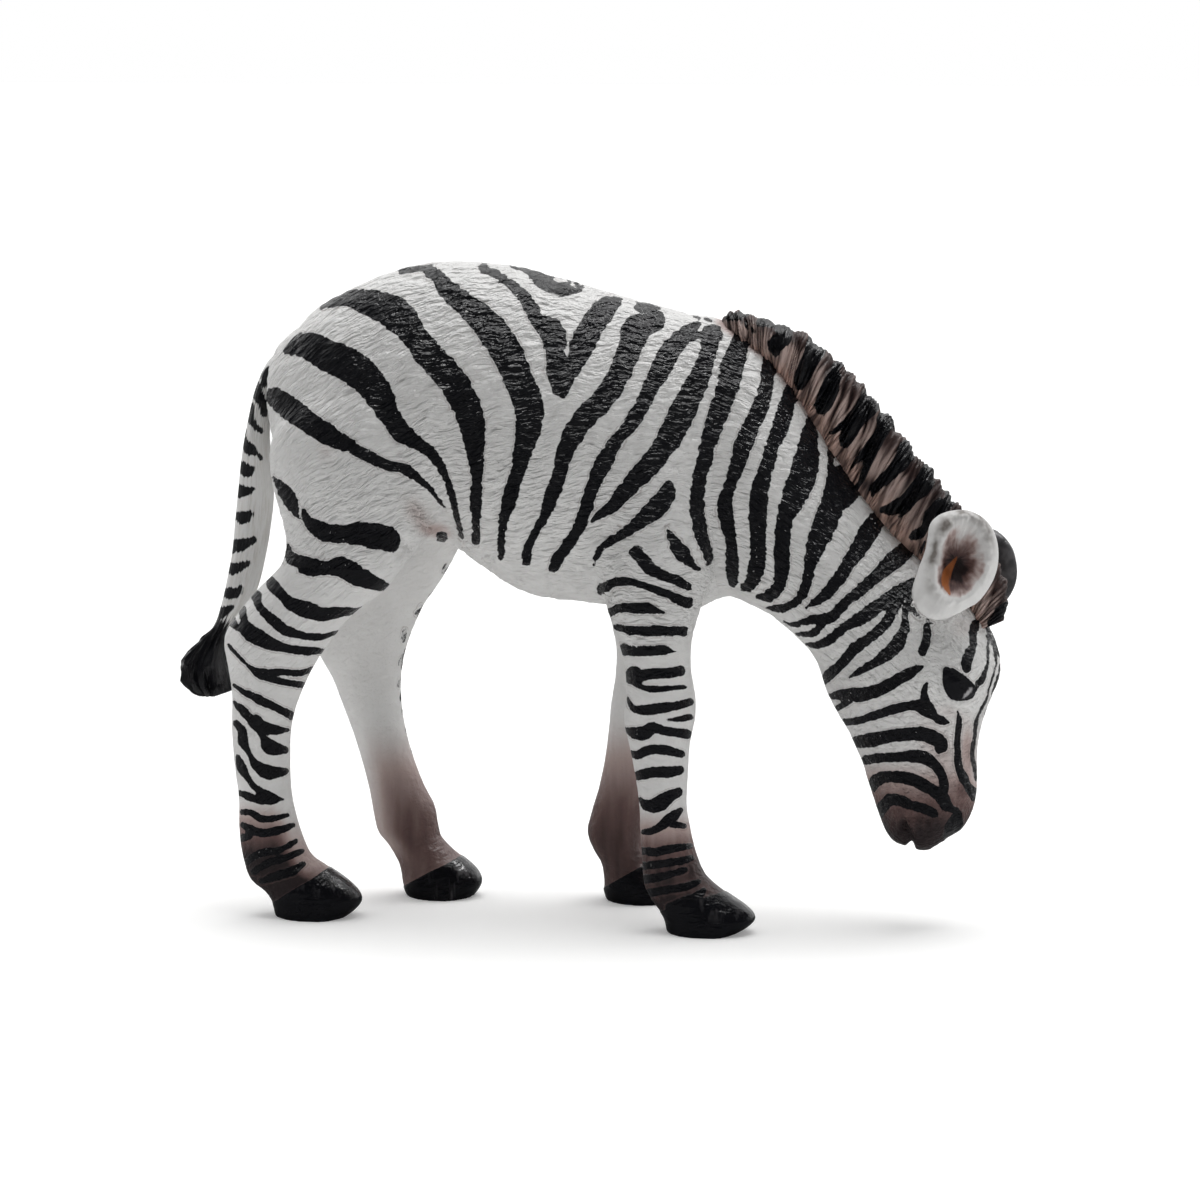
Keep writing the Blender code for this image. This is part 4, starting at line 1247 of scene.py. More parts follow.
def coatPaint():
    # white plastic with sprayed brown shadows, and the stripes brushed over them in glossier black
    material, tree, shader = startMaterial("coatPaint")
    hair = readAttribute(tree, "hair", "Vector")
    leg = readAttribute(tree, "leg")
    gloss = readAttribute(tree, "gloss")
    furry = readAttribute(tree, "furry")
    place = readCoordinates(tree)

    # one noise combed along the hair makes the ridges, and the brush's edge is ragged where they end
    ridges = blend(leg, grainOf(hair, coat["combed"], 3.0), grainOf(place, coat["legCombed"], 3.0))
    crumbs = swingOf(place, coat["crumbs"])
    barbs = times(minus(ridges, 0.5), readAttribute(tree, "ragged"))
    edge = plus(barbs, times(crumbs, 1.3), readAttribute(tree, "ink"))
    black = fade(edge, 0.40, -0.40)

    # the white is mottled, and painted shade greys it in the fur's grooves
    mottle = fade(grainOf(place, coat["mottle"]), 0.35, 0.75)
    grooveShade = times(fade(ridges, 0.48, 0.30), furry)
    base = mixColour(times(mottle, coat["mottled"]), "white", "greyWhite")
    base = mixColour(times(grooveShade, coat["grooveShading"]), base, "greyWhite")

    # the sprayed brown is streaked along the fur, and down the legs
    streaks = blend(leg, grainOf(hair, coat["streaks"]), grainOf(place, coat["legDrips"]))
    uneven = plus(times(minus(streaks, 0.5), blend(leg, *coat["uneven"])), 1.0)
    base = layerColours(base, times(readAttribute(tree, "brown"), uneven), coat["spray"])

    # a broken brown line follows the edges of the stripes
    patches = fade(grainOf(place, coat["patches"]), 0.48, 0.60)
    outline = times(fade(edge, 2.0, 1.5), fade(edge, 0.7, 1.1), patches, coat["outlined"])
    base = mixColour(outline, base, "brown")

    # the black is uneven, greyer on the hooves with a painted highlight on their upper faces, chipped down to
    # the white, and with a painted highlight in the eye
    cover = mixColour(grainOf(place, coat["blackGrain"]), "black", "softBlack")
    hoofHighlightGrey = times(readAttribute(tree, "hoofHighlightGrey"), fade(streaks, 0.50, 0.70))
    cover = mixColour(hoofHighlightGrey, cover, "highlightGrey")
    flecks = fade(grainOf(hair, coat["flecks"], 1.0), 0.72, 0.77)
    clusters = fade(grainOf(place, coat["clusters"]), 0.50, 0.62)
    chipped = times(flecks, clusters, readAttribute(tree, "fleck"), coat["chipped"])
    cover = mixColour(chipped, cover, "greyWhite")
    cover = mixColour(readAttribute(tree, "eyeHighlightEarStreak"), cover, "paintedEyeHighlight")

    satin = minus(coat["roughness"], times(black, coat["blackGloss"]))
    satin = minus(plus(satin, times(crumbs, coat["crumbRoughness"])), times(gloss, coat["hoofGloss"]))

    # relief: ridges with fine fibres and sharp valleys on the fur, wrinkles on the face, rings on the hooves
    crests = calculate("ABSOLUTE", swingOf(hair, coat["crests"]))
    carved = plus(ridges, times(grainOf(hair, coat["fibres"]), coat["fibreHeight"]))
    carved = times(minus(carved, times(crests, coat["crestDepth"])), furry)
    wrinkles = times(grainOf(place, coat["wrinkles"]), readAttribute(tree, "creased"))
    film = times(plus(crumbs, black), coat["filmHeight"])
    rings = times(grainOf(place, coat["hoofRings"], 3.0), gloss, coat["ringHeight"])
    relief = plus(carved, wrinkles, film, rings)
    setInputs(shader, {
        "Base Color": mixColour(black, base, cover),
        "Roughness": satin,
        "Specular IOR Level": coat["specular"],
        "Normal": bumpOf(relief, coat["bump"]),
    })
    return material


def hairPaint(name, light, dark, warm, depth):
    # carved hair: the strands lie in the hair attribute, with painted shade in their grooves, and black
    # strokes on top
    material, tree, shader = startMaterial(name)
    strands = grainOf(readAttribute(tree, "hair", "Vector"), (2.8, 0.30, 1.0), 4.0)
    black = fade(plus(times(minus(strands, 0.5), 7.0), readAttribute(tree, "ink")), 0.6, -0.6)
    grooveShade = fade(readAttribute(tree, "ridge"), 0.50, 0.05)
    base = mixColour(readAttribute(tree, "warm"), light, warm)
    base = mixColour(fade(readAttribute(tree, "brown"), 0.0, 1.0), base, dark)
    # painted shade: darker where the strands dip, and dark brown down the grooves
    base = mixColour(times(fade(strands, 0.52, 0.36), 0.75), base, dark)
    base = mixColour(times(grooveShade, 0.75), base, "darkBrown")
    cover = mixColour(grainOf(readCoordinates(tree), coat["blackGrain"]), "black", "softBlack")
    setInputs(shader, {
        "Base Color": mixColour(black, base, cover),
        "Roughness": minus(0.50, times(black, 0.25)),
        "Normal": bumpOf(strands, depth),
    })
    return material


def lineHeight(line, x):
    # the photo y of a straight line through two pixels
    (x0, y0), (x1, y1) = line
    return y0 + (y1 - y0) * (x - x0) / (x1 - x0)


def toeShift(leg, ahead, z):
    # forwards at the front of the toe, in a bell round its height, and back under the sole's front edge
    under = rise(ahead, 0.15, 1.0) * np.clip(1 - z / leg["toeLift"], 0, 1) ** 2
    tip = rise(ahead, 0.0, 1.1) * np.exp(-((z - 2.0 * mm) / (1.7 * mm)) ** 2)
    return leg["toeFront"] * tip - leg["toeRound"] * under


def footSpray(leg, ahead, down, below):
    # brown that deepens with the photo's y and is paler at one edge of the leg, or else the dark band over
    # the hoof, which is paler at its front
    amount, edgeFrom, edgeTo, downFrom, downTo = leg["paleEdge"]
    pale = amount * rise(ahead, edgeFrom, edgeTo) * rise(down, downFrom, downTo)
    amount, low, high = leg["paleFoot"]
    pale = pale + amount * rise(down, low, high)
    amount, low, high = leg["darkPastern"]
    band = amount * rise(below, low, high) * (1 - 0.7 * rise(ahead, 0.35, 0.95))
    return np.maximum(leg["brownMost"] * rise(down, *leg["brownFrom"]) * (1 - pale), band)


def faceSpray(pixels):
    # brown that deepens down the snout, paler on its front
    height, amount = np.array(snoutSpray).T
    snout = np.interp(pixels[:, 1], height, amount)
    front = rise(pixels[:, 0], 960, 984) * (1 - rise(pixels[:, 1], 785, 815))
    return snout * (1 - 0.40 * front)


def furAmount(points, pixels, sideways, isLeg, face, smooth):
    # a product of shares: less on the legs, the face, the inner sides, the rump's smooth patch and low down
    x, y, radiusX, radiusY = fur["thinRump"]
    patch = np.exp(-(((pixels[:, 0] - x) / radiusX) ** 2 + ((pixels[:, 1] - y) / radiusY) ** 2))
    amount = np.where(isLeg, fur["onLegs"], 1.0) * (1 - 0.25 * face) * smooth
    amount *= 1 - 0.55 * rise(-sideways, 0.1, 0.5)
    amount *= 1 - 0.5 * patch
    return amount * (rise(points[:, 2], 20 * mm, 34 * mm) * 0.6 + 0.4)


def dressFeet(points, label, ownPixels, brown):
    # shifts the toes of these points, and returns the hooves, the grey on their fronts and the brown with its
    # feet
    hoof, frontGrey = np.zeros(len(points)), np.zeros(len(points))
    for k, leg in enumerate(legs.values()):
        mine = label == 2 + k
        middleX, halfSpan = legCourse(leg, points[:, 2])[:2]
        ahead = (points[:, 0] - middleX) / halfSpan
        below = ownPixels[:, 1] - lineHeight(leg["coronet"], ownPixels[:, 0])
        hoof = np.where(mine, rise(below, -1.5, 1.5), hoof)
        frontGrey = np.where(mine, leg["greyToe"] * rise(ahead, -0.2, 0.7), frontGrey)
        sprayed = footSpray(leg, ahead, ownPixels[:, 1], below)
        brown = np.where(mine, np.maximum(brown, sprayed), brown)
        points[:, 0] += np.where(mine, toeShift(leg, ahead, points[:, 2]), 0)
    return hoof, frontGrey, brown


def brushedInk(pixels, ownPixels, sideways, isFarHindleg, eye, hoof):
    # the signed distance to the black: the stripes on the outer sides, then what has its own places
    stripes = [stroke for key in stripeGroups for stroke in paint[key]]
    ink = np.maximum(strokesAt(stripes, pixels), -strokesAt(paint["bare"], pixels))
    ink += 26 * rise(-sideways, 0.0, 0.5)
    farMarks = np.maximum(strokesAt(paint["farLeg"], ownPixels), 0.05)
    farMarks += unpainted * np.maximum(~isFarHindleg, rise(sideways, 0.12, 0.35))
    spot = strokesAt(paint["spot"], pixels) + unpainted * rise(-sideways, 0.7, 0.9)
    nostril = strokesAt(paint["nostril"], pixels) + unpainted * rise(-sideways, 0.0, 0.35)
    for other in (farMarks, spot, eye, nostril, 3 - 6 * hoof):
        ink = np.minimum(ink, other)
    return ink


def dressedSkin(voxel):
    # the whole skin with its forms, fur and paint: points, normals, quads, label, attributes
    mesh = remeshedSkin(voxel)
    edges, quads = meshEdges(mesh), meshQuads(mesh)
    finer = (skin["voxel"] / voxel) ** 2
    points = relax(vertexArrays(mesh)[0], edges, skin["smoothing"], int(skin["smoothRounds"] * finer))
    share = skin["seamSmoothing"] * legNearness(points, skin["seamMargin"])[:, None]
    points = relax(points, edges, (share,), int(skin["seamRounds"] * finer))
    setPoints(mesh, points)
    points, normals = vertexArrays(mesh)
    label = labelSkin(points)
    isHead, isLeg = label == 1, label >= 2
    pixels = toPhoto(brushPlaces(points))
    ownPixels = toPhoto(points)
    sideways = normals[:, 1] * np.sign(points[:, 1])  # 1 where the skin faces outwards, -1 between the legs
    outer = rise(sideways, -0.15, 0.4)

    brown = bellsAt(smudges, pixels) * rise(sideways, -0.3, 0.1)
    hoof, frontGrey, brown = dressFeet(points, label, ownPixels, brown)
    brown = np.where(isHead, np.maximum(brown, faceSpray(pixels)), brown)
    shadow, low, high = crestShadow
    brown = np.maximum(brown, shadow * (1 - rise(strokesAt([crestLine], pixels), low, high)))

    # the forms, which on the lips run on round to the inner side
    lips = isHead * rise(pixels[:, 1], 824, 834) * (1 - rise(pixels[:, 0], 930, 938))
    forms = reliefAt(pixels) * np.maximum(outer, lips)
    forms += eyeDome(pixels) * outer + skin["hoofSwell"] * hoof
    points = points + normals * forms[:, None]
    setPoints(mesh, points)
    points, normals = vertexArrays(mesh)

    # the fur, which leaves the hooves, the eye and the nostril smooth
    hair = hairSpace(points)
    face = rise(pixels[:, 0] + 0.6 * (pixels[:, 1] - 560), 800, 930) * isHead
    bare = (1 - strokesAt(paint["eye"] + paint["nostril"], pixels) / 12).clip(0, 1)
    amount = furAmount(points, pixels, sideways, isLeg, face, (1 - hoof) * (1 - bare))
    points = points + normals * (fur["height"] * mm * furRidges(hair) * amount)[:, None]
    points[:, 2] = np.maximum(points[:, 2], 0)

    eye = strokesAt(paint["eye"], pixels) + unpainted * (1 - outer)
    paintedEyeHighlight = strokesAt(paint["paintedEyeHighlight"], pixels) + unpainted * (1 - outer)
    shine = np.maximum(hoof, 1 - rise(eye, -1, 1))
    farHindleg = label == 2 + list(legs).index("leftHindleg")
    attributes = {
        "ink": brushedInk(pixels, ownPixels, sideways, farHindleg, eye, hoof),
        "brown": brown,
        "gloss": shine,
        # painted highlight: grey on the hooves' upward faces; and a grey front on the far hind hoof
        "hoofHighlightGrey": hoof * np.maximum(0.35 * rise(normals[:, 2], 0.1, 0.5), frontGrey),
        # painted highlight in the eye, standing for a reflection
        "eyeHighlightEarStreak": 1 - rise(paintedEyeHighlight, -0.5, 0.8),
        "fleck": (1 - shine) * np.where(isLeg, 0.35, 1.0),
        "ragged": 1.5 + 5.0 * amount,
        "furry": 0.12 + 0.88 * amount,
        "leg": 1 - rise(points[:, 2], 21 * mm, 31 * mm),
        "creased": (0.30 + 0.80 * face) * (1 - shine),
        "hair": hair,
    }
    bpy.data.meshes.remove(mesh)
    return points, normals, quads, label, attributes


def snapToSeams(points, normals, quads, label):
    # a quad that crosses a seam stays with the torso, and its far corners slide along the skin to the seam
    corners = label[quads]
    crossing = corners.min(axis=1) != corners.max(axis=1)
    for k in range(1, 2 + len(legs)):
        rim = np.unique(quads[crossing][corners[crossing] == k])
        axis = np.array([1.0, 0, 0]) if k == 1 else np.array([0, 0, 1.0])
        level = withersX if k == 1 else skin["bellyHeight"] * list(legs.values())[k - 2]["seam"]
        slide = axis - normals[rim] * (normals[rim] @ axis)[:, None]
        share = np.clip((level - points[rim] @ axis) / np.maximum(slide @ axis, 0.2), -0.4 * mm, 0.4 * mm)
        points[rim] += slide * share[:, None]
        points[rim] += axis * (level - points[rim] @ axis)[:, None]
    return np.where(crossing, 0, corners[:, 0])


def cutPiece(name, points, quads, attributes):
    used, index = np.unique(quads, return_inverse=True)
    mesh = meshFrom(name, points[used], index.reshape(-1, 4))
    setAttributes(mesh, {key: values[used] for key, values in attributes.items()})
    closeMesh(mesh)
    return mesh


def addSkinPieces():
    material = coatPaint()
    voxel = skin["voxel"]
    points, normals, quads, label, attributes = dressedSkin(voxel)
    owner = snapToSeams(points, normals, quads, label)
    pieces = [("torsoSkin", "torso"), ("headSkin", "neck_and_head")]
    pieces += [(name + "Skin", leg["node"]) for name, leg in legs.items()]
    for k, (name, node) in enumerate(pieces):
        mesh = cutPiece(name, points, quads[owner == k], attributes)
        finishPiece(name, mesh, material, node)
        print(name, len(mesh.polygons), "faces")


addSkinPieces()
print("skin done")

# The mane: locks along the crest, from the withers to the forelock
mane = {
    "start": 1.2 * mm,
    "height": 6.5 * mm,
    "thickness": 4.0 * mm,
    "keel": 1.2 * mm,
    "egg": -0.10,
    "length": 36.0,  # millimetres of crest
    "lockWidth": 1.55,
    "strandWidth": 0.42,
    "sweep": 1.2,  # millimetres that a lock moves towards the head from its tip to its root
    "stepsPerRow": 30,
    "sides": 96,
    "bump": 0.55 * mm,
}
# shares: how far along and down the neck, how far the tip leans forwards and up from there, half thickness
maneShares = (
    (-0.045, 0.012, -0.03, 0.12, 0.20),
    (-0.022, 0.014, -0.02, 0.25, 0.36),
    (0.012, 0.024, 0.01, 0.34, 0.44),
    (0.065, 0.047, 0.09, 0.44, 0.48),
    (0.126, 0.069, 0.20, 0.49, 0.50),
    (0.188, 0.108, 0.32, 0.65, 0.50),
    (0.241, 0.146, 0.48, 0.63, 0.50),
    (0.293, 0.187, 0.61, 0.67, 0.50),
    (0.348, 0.232, 0.63, 0.73, 0.50),
    (0.412, 0.281, 0.64, 0.80, 0.50),
    (0.479, 0.328, 0.66, 0.80, 0.50),
    (0.553, 0.371, 0.66, 0.82, 0.50),
    (0.634, 0.414, 0.59, 0.82, 0.48),
    (0.719, 0.455, 0.50, 0.84, 0.46),
    (0.797, 0.490, 0.45, 0.77, 0.44),
    (0.860, 0.520, 0.50, 0.56, 0.42),
    (0.908, 0.548, 0.44, 0.33, 0.38),
    (0.934, 0.569, 0.30, 0.13, 0.25),
)


def maneRows():
    # upright sections: the tip leans from the root, and the keel lies the same way below it
    s = np.array(maneShares)
    reach = mane["start"] + (skin["neckReach"] - mane["start"]) * s[:, 0]
    root = np.stack([withersX + reach, withersZ - skin["neckDrop"] * s[:, 1]], axis=1)
    lean = s[:, 2:4] * mane["height"]
    rows = np.zeros((len(s), 7))
    rows[:, 0:2] = root + lean
    rows[:, 2:4] = root - lean / np.linalg.norm(lean, axis=1, keepdims=True) * mane["keel"]
    rows[:, 4] = mane["thickness"] * s[:, 4]
    rows[:, 6] = mane["egg"]
    return smoothRows(rows, mane["stepsPerRow"])


def addMane():
    # locks: |sin| of the way along the crest, unevenly spaced, gives rounded lobes with sharp valleys, and a
    # finer |sin| combs strands into them. Both push the sides in and leave the top edge jagged.
    rows = maneRows()
    count, sides = len(rows), mane["sides"]
    t = np.linspace(0, 1, count)[:, None]
    a = anglesRound(sides)[None, :]
    # on the grid, up is 1 at the tips and 0 at the keel, side is -1 to 1 across, and along is in millimetres
    up = (1 + np.cos(a)) / 2 + 0 * t
    side = np.sin(a) + 0 * t
    along = t * mane["length"] + mane["sweep"] * up
    wander = softNoise(along / 1.9, up * 0.9, side * 0.5 + 3.5)
    locks = np.abs(np.sin(math.pi * (along / mane["lockWidth"] + 0.75 * wander + 0.25 * side)))
    locks = locks * (0.80 + 0.35 * softNoise(along / 1.3 + 40, up * 0.5, side * 0.6 + 5.5))
    curl = softNoise(along / 0.9, up * 1.6, side * 0.7 + 8.5)
    strands = np.abs(np.sin(math.pi * (along / mane["strandWidth"] + 1.7 * curl)))
    tips = softNoise(along / 0.9, 0 * along + 2.5, 0 * along + 0.5)

    points = ovalRings(rows, sides)
    middle = (rows[:, 0:2] + rows[:, 2:4]) / 2
    half = (rows[:, 0:2] - rows[:, 2:4]) / 2
    grown = rise(up, 0.5, 1.0) * (0.16 * (locks - 0.48) + 0.05 * (strands - 0.6) + 0.05 * tips)
    shape = np.cos(a) * (1 + grown)
    points[..., 0] = middle[:, :1] + half[:, :1] * shape
    points[..., 2] = middle[:, 1:] + half[:, 1:] * shape
    slim = 1 - 0.30 * (1 - rise(up, 0.10, 0.55))
    outward = rise(up, 0.05, 0.30) * (1 - 0.5 * rise(up, 0.85, 1.0))
    points[..., 1] *= slim + outward * (0.34 * (locks - 0.50) + 0.20 * (strands - 0.6) + 0.10 * curl)
    bent = bendNeck(points).reshape(-1, 3)
    mesh = meshFrom("maneHair", bent, gridFaces(count, sides))
    setAttributes(mesh, {
        "ink": strokesAt(paint["mane"], toPhoto(mirrored(bent))),
        "ridge": 0.45 * locks + 0.55 * strands,
        # darker towards the tips, and painted shade between the locks and between the strands
        "brown": 0.85 * rise(up, 0.60, 0.95) + 0.60 * (0.8 - locks) + 0.45 * (0.6 - strands) + 0.25 * tips,
        "warm": 1 - rise(up, 0.22, 0.50),
        "hair": np.stack([along, up * 6, side * 1.5], axis=2),
    })
    closeMesh(mesh)
    material = hairPaint("manePaint", "maneTan", "maneDark", "maneRoot", mane["bump"])
    finishPiece("maneHair", mesh, material, "mane")


addMane()
print("mane done")

# The ears: furred cups that lean from the poll
ear = {
    "height": 9.75 * mm,
    "width": 7.4 * mm,
    "depth": 3.6 * mm,
    # the bowl in shares: middle and half length up the ear, half width and shift across it
    "bowl": (0.50, 0.47, 0.40, -0.02),
    "bowlDepth": 3.0 * mm,
    "wall": 0.55,  # the least wall behind the bowl, as a share of the half depth
    "fibres": 0.16 * mm,
    "lumps": 0.12 * mm,
    "lumpSize": 1.3 * mm,
    "rings": 150,
    "sides": 128,
    # how deep in the hollow each colour starts and is full
    "layers": ((0.18, 0.50, "pink"), (0.38, 0.64, "brown"), (0.60, 0.84, "darkBrown")),
    "bump": 0.16 * mm,
}
# height share, half width share, half depth share, sideways shift share
earShares = (
    (-0.140, 0.060, 0.120, -0.185),
    (-0.110, 0.170, 0.270, -0.190),
    (-0.060, 0.265, 0.350, -0.185),
    (0.000, 0.345, 0.400, -0.168),
    (0.060, 0.405, 0.430, -0.142),
    (0.130, 0.462, 0.460, -0.100),
    (0.240, 0.496, 0.482, -0.054),
    (0.370, 0.513, 0.496, -0.017),
    (0.500, 0.513, 0.484, 0.003),
    (0.630, 0.510, 0.453, -0.012),
    (0.760, 0.485, 0.408, -0.044),
    (0.865, 0.406, 0.348, -0.050),
    (0.935, 0.290, 0.280, -0.045),
    (0.980, 0.160, 0.170, -0.040),
    (1.000, 0.040, 0.050, -0.040),
)
# node, root in shares of neckReach, neckDrop and headWidth, turns in degrees, size
earPlaces = {
    "rightEar": ("right_ear", (0.850, 0.520, -0.430), (11.0, -14.0, -62.0), 1.00),
    "leftEar": ("left_ear", (0.862, 0.545, 0.450), (14.0, 20.0, 78.0), 0.90),
}


def earPaint():
    # white outside; the hollow darkens from furry white to brown and black, and the back's tip is black
    material, tree, shader = startMaterial("earPaint")
    hair = readAttribute(tree, "hair", "Vector")
    place = readCoordinates(tree)
    fibres = swingOf(hair, (5.5, 5.5, 2.6), 3.0)
    blotches = swingOf(place, 650.0)
    depth = plus(readAttribute(tree, "hollow"), times(fibres, 0.35), times(blotches, 0.65))
    mottle = fade(grainOf(place, 700.0), 0.35, 0.7)
    base = mixColour(times(mottle, 0.45), "white", "greyWhite")
    # the upper rim is darker grey-brown
    base = mixColour(times(readAttribute(tree, "brown"), plus(mottle, 0.30)), base, "rimGreyBrown")
    base = layerColours(base, depth, ear["layers"])
    streak = plus(readAttribute(tree, "eyeHighlightEarStreak"), fibres)
    base = mixColour(fade(streak, 0.35, 0.85), base, "orange")
    black = fade(plus(readAttribute(tree, "ink"), times(fibres, 3.0)), 0.6, -0.6)
    # the black is mottled with grey, a painted sheen
    cover = mixColour(plus(times(mottle, 0.6), 0.3), "softBlack", "highlightGrey")
    setInputs(shader, {
        "Base Color": mixColour(black, base, cover),
        "Roughness": minus(0.5, times(black, 0.16)),
        "Normal": bumpOf(fibres, ear["bump"]),
    })
    return material


def addEar(name, material):
    # outer skin: x = half depth * cos, y = shift + half width * sin; the front half is pressed back by a bowl
    # whose depth falls from its middle to its rim, and stops short of the back
    node, place, degrees, size = earPlaces[name]
    near = name == "rightEar"
    table = smoothRows(earShares, 8)
    low = earShares[0][0]
    t = (low + (1 - low) * (1 - np.cos(np.linspace(0, math.pi, ear["rings"]))) / 2)[:, None]
    a = anglesRound(ear["sides"])[None, :]
    halfWidth, halfDepth, shift = [np.interp(t, table[:, 0], table[:, k]) for k in (1, 2, 3)]
    middle, halfLength, halfAcross, aside = ear["bowl"]
    if not near:
        shift, aside = -shift, -aside
    x = ear["depth"] * halfDepth * np.cos(a)
    y = ear["width"] * (shift + halfWidth * np.sin(a))

    # reach and turn: the place in the bowl, 1 at its rim, and the direction from its middle
    across = (y / ear["width"] - aside - 0.5 * shift) / halfAcross
    reach = np.hypot(across, (t - middle) / halfLength)
    turn = np.arctan2(across, (t - middle) / halfLength)
    cosine, sine = np.cos(turn), np.sin(turn)
    front = rise(np.cos(a), 0.0, 0.25)
    bowl = (1 - rise(reach, 0.15, 1.0)) * front
    fibres = softNoise(cosine * 7 + 30, sine * 7 + 30, reach * 2.2)
    tufts = np.abs(np.sin(turn * 9 + 2.2 * softNoise(cosine * 2 + 20, sine * 2 + 20, reach * 1.5)))
    ragged = softNoise(cosine * 1.6 + 11, sine * 1.6 + 15, reach * 1.2)
    lump = softNoise(y / ear["lumpSize"] + 20, t * 5, 0 * reach + 2.5)
    wall = ear["wall"] * ear["depth"] * halfDepth * np.abs(np.cos(a))
    x = np.maximum(x - ear["bowlDepth"] * bowl, np.minimum(x, -wall))
    rimFur = rise(reach, 0.30, 0.65) * (1 - rise(reach, 0.92, 1.08)) * front
    x = x + ear["fibres"] * (fibres + 0.8 * tufts) * rimFur + ear["lumps"] * lump * (1 - bowl)

    turns = [Matrix.Rotation(math.radians(d), 3, axis) for d, axis in zip(degrees, "YXZ")]
    tilt = np.array(turns[0] @ turns[1] @ turns[2]) * size
    reachShare, dropShare, sideShare = place
    root = np.array([
        withersX + skin["neckReach"] * reachShare, skin["headWidth"] * sideShare,
        withersZ - skin["neckDrop"] * dropShare,
    ])
    local = np.stack([x, y, t * ear["height"] + 0 * a], axis=2)
    points = bendNeck(root + local @ tilt.T).reshape(-1, 3)
    mesh = meshFrom(name, points, gridFaces(ear["rings"], ear["sides"]))

    dark = np.hypot(across, (t - middle + 0.08) / halfLength) + 0.6 * rise(reach, 0.75, 1.0)
    rim = np.exp(-((reach - 1.00) / 0.17) ** 2) * rise(t - 0.35 * across, 0.05, 0.80) * front
    streak, black = reach + unpainted, 0 * reach - 9  # the far ear: no streak, and black all over
    if near:
        streak = strokesAt(paint["earStreak"], toPhoto(points)).reshape(reach.shape)
        black = 12 * (0.42 - t) + 20 * rise(np.cos(a), -0.35, 0.0)
    setAttributes(mesh, {
        "hollow": (1.06 - dark + 0.18 * ragged) * front,
        "eyeHighlightEarStreak": (1 - rise(streak, -1.8, 1.6)) * front,
        "ink": black,
        "brown": rim,
        "hair": np.stack([cosine, sine, reach], axis=2),
    })
    closeMesh(mesh)
    finishPiece(name, mesh, material, node)


earMaterial = earPaint()
for earName in earPlaces:
    addEar(earName, earMaterial)
print("ears done")

# The tail: a barred dock that ends in a black tuft
tail = {
    "length": 35.3 * mm,
    "reach": 11.0 * mm,
    "width": 3.6 * mm,
    "place": (0.058, 0.752),
    "tuftFrom": 0.775,
    "stepsPerRow": 22,
    "sides": 64,
    "bump": 0.28 * mm,
}
# the rear point, the front point and the half width, as shares of reach, length and width
tailShares = (
    (0.056, 0.000, 0.148, 0.048, 0.400),
    (-0.188, 0.035, -0.031, 0.078, 0.500),
    (-0.332, 0.119, -0.164, 0.147, 0.475),
    (-0.420, 0.229, -0.214, 0.246, 0.445),
    (-0.481, 0.334, -0.199, 0.341, 0.435),
    (-0.512, 0.421, -0.183, 0.428, 0.420),
    (-0.544, 0.508, -0.214, 0.515, 0.410),
    (-0.575, 0.596, -0.265, 0.606, 0.395),
    (-0.626, 0.675, -0.334, 0.691, 0.370),
    (-0.686, 0.749, -0.450, 0.765, 0.340),
    (-0.754, 0.808, -0.584, 0.824, 0.350),
    (-0.899, 0.856, -0.615, 0.868, 0.560),
    (-1.044, 0.913, -0.607, 0.924, 0.660),
    (-1.046, 0.969, -0.609, 0.977, 0.640),
    (-0.981, 1.000, -0.639, 0.998, 0.480),
    (-0.896, 1.015, -0.744, 1.014, 0.237),
)


def addTail():
    # sections across the dock; round each one a noise in the angle, stretched down the tail, combs the hair,
    # lightly on the dock and deep in the tuft
    rootX = rearX + skin["torsoLength"] * tail["place"][0]
    rootZ = skin["bellyHeight"] + skin["torsoDepth"] * tail["place"][1]
    rows = ovalRows(tailShares, rootX, tail["reach"], rootZ, -tail["length"], tail["width"])
    rows = smoothRows(rows, tail["stepsPerRow"])
    drop = ((rootZ - (rows[:, 1] + rows[:, 3]) / 2) / tail["length"])[:, None]
    a = anglesRound(tail["sides"])[None, :]
    tuft = rise(drop, tail["tuftFrom"], tail["tuftFrom"] + 0.10)
    twist = 2 * tuft * (drop - 0.8)
    cosine, sine = np.cos(a + twist), np.sin(a + twist)
    combed = 1 - 2 * np.abs(softNoise(cosine * 2.9 + 9, sine * 2.9 + 9, drop * 6))
    strands = softNoise(cosine * 4.5 + 30, sine * 4.5 + 30, drop * 8)
    clumps = softNoise(cosine * 1.2 + 50, sine * 1.2 + 50, drop * 12)
    ridge = 0.6 * combed + 0.4 * strands
    grown = 1 + (0.03 + 0.30 * tuft) * (combed - 0.55) + (0.01 + 0.12 * tuft) * strands + 0.10 * tuft * clumps
    points = ovalRings(rows, tail["sides"])
    middle = points.mean(axis=1, keepdims=True)
    points = (middle + (points - middle) * grown[..., None]).reshape(-1, 3)
    mesh = meshFrom("tailHair", points, gridFaces(len(rows), tail["sides"]))
    bars = strokesAt(paint["tail"], toPhoto(mirrored(points))).reshape(ridge.shape) - 0.9
    setAttributes(mesh, {
        "ink": np.minimum(bars, 60 * (tail["tuftFrom"] + 0.012 - drop + 0.02 * combed)),
        "ridge": 0.35 + 0.65 * ridge + 0.5 * (1 - tuft),
        "brown": 0.10 * rise(np.cos(a), 0.3, -0.6) + 0 * drop,
        "warm": 0 * ridge,
        "hair": np.stack([cosine * 3, drop * 35 + 0 * a, sine * 3], axis=2),
    })
    closeMesh(mesh)
    # the tail's grooves are greyed with painted shade
    material = hairPaint("tailPaint", "white", "tailGrooveShade", "white", tail["bump"])
    finishPiece("tailHair", mesh, material, "tail")


addTail()
print("tail done")

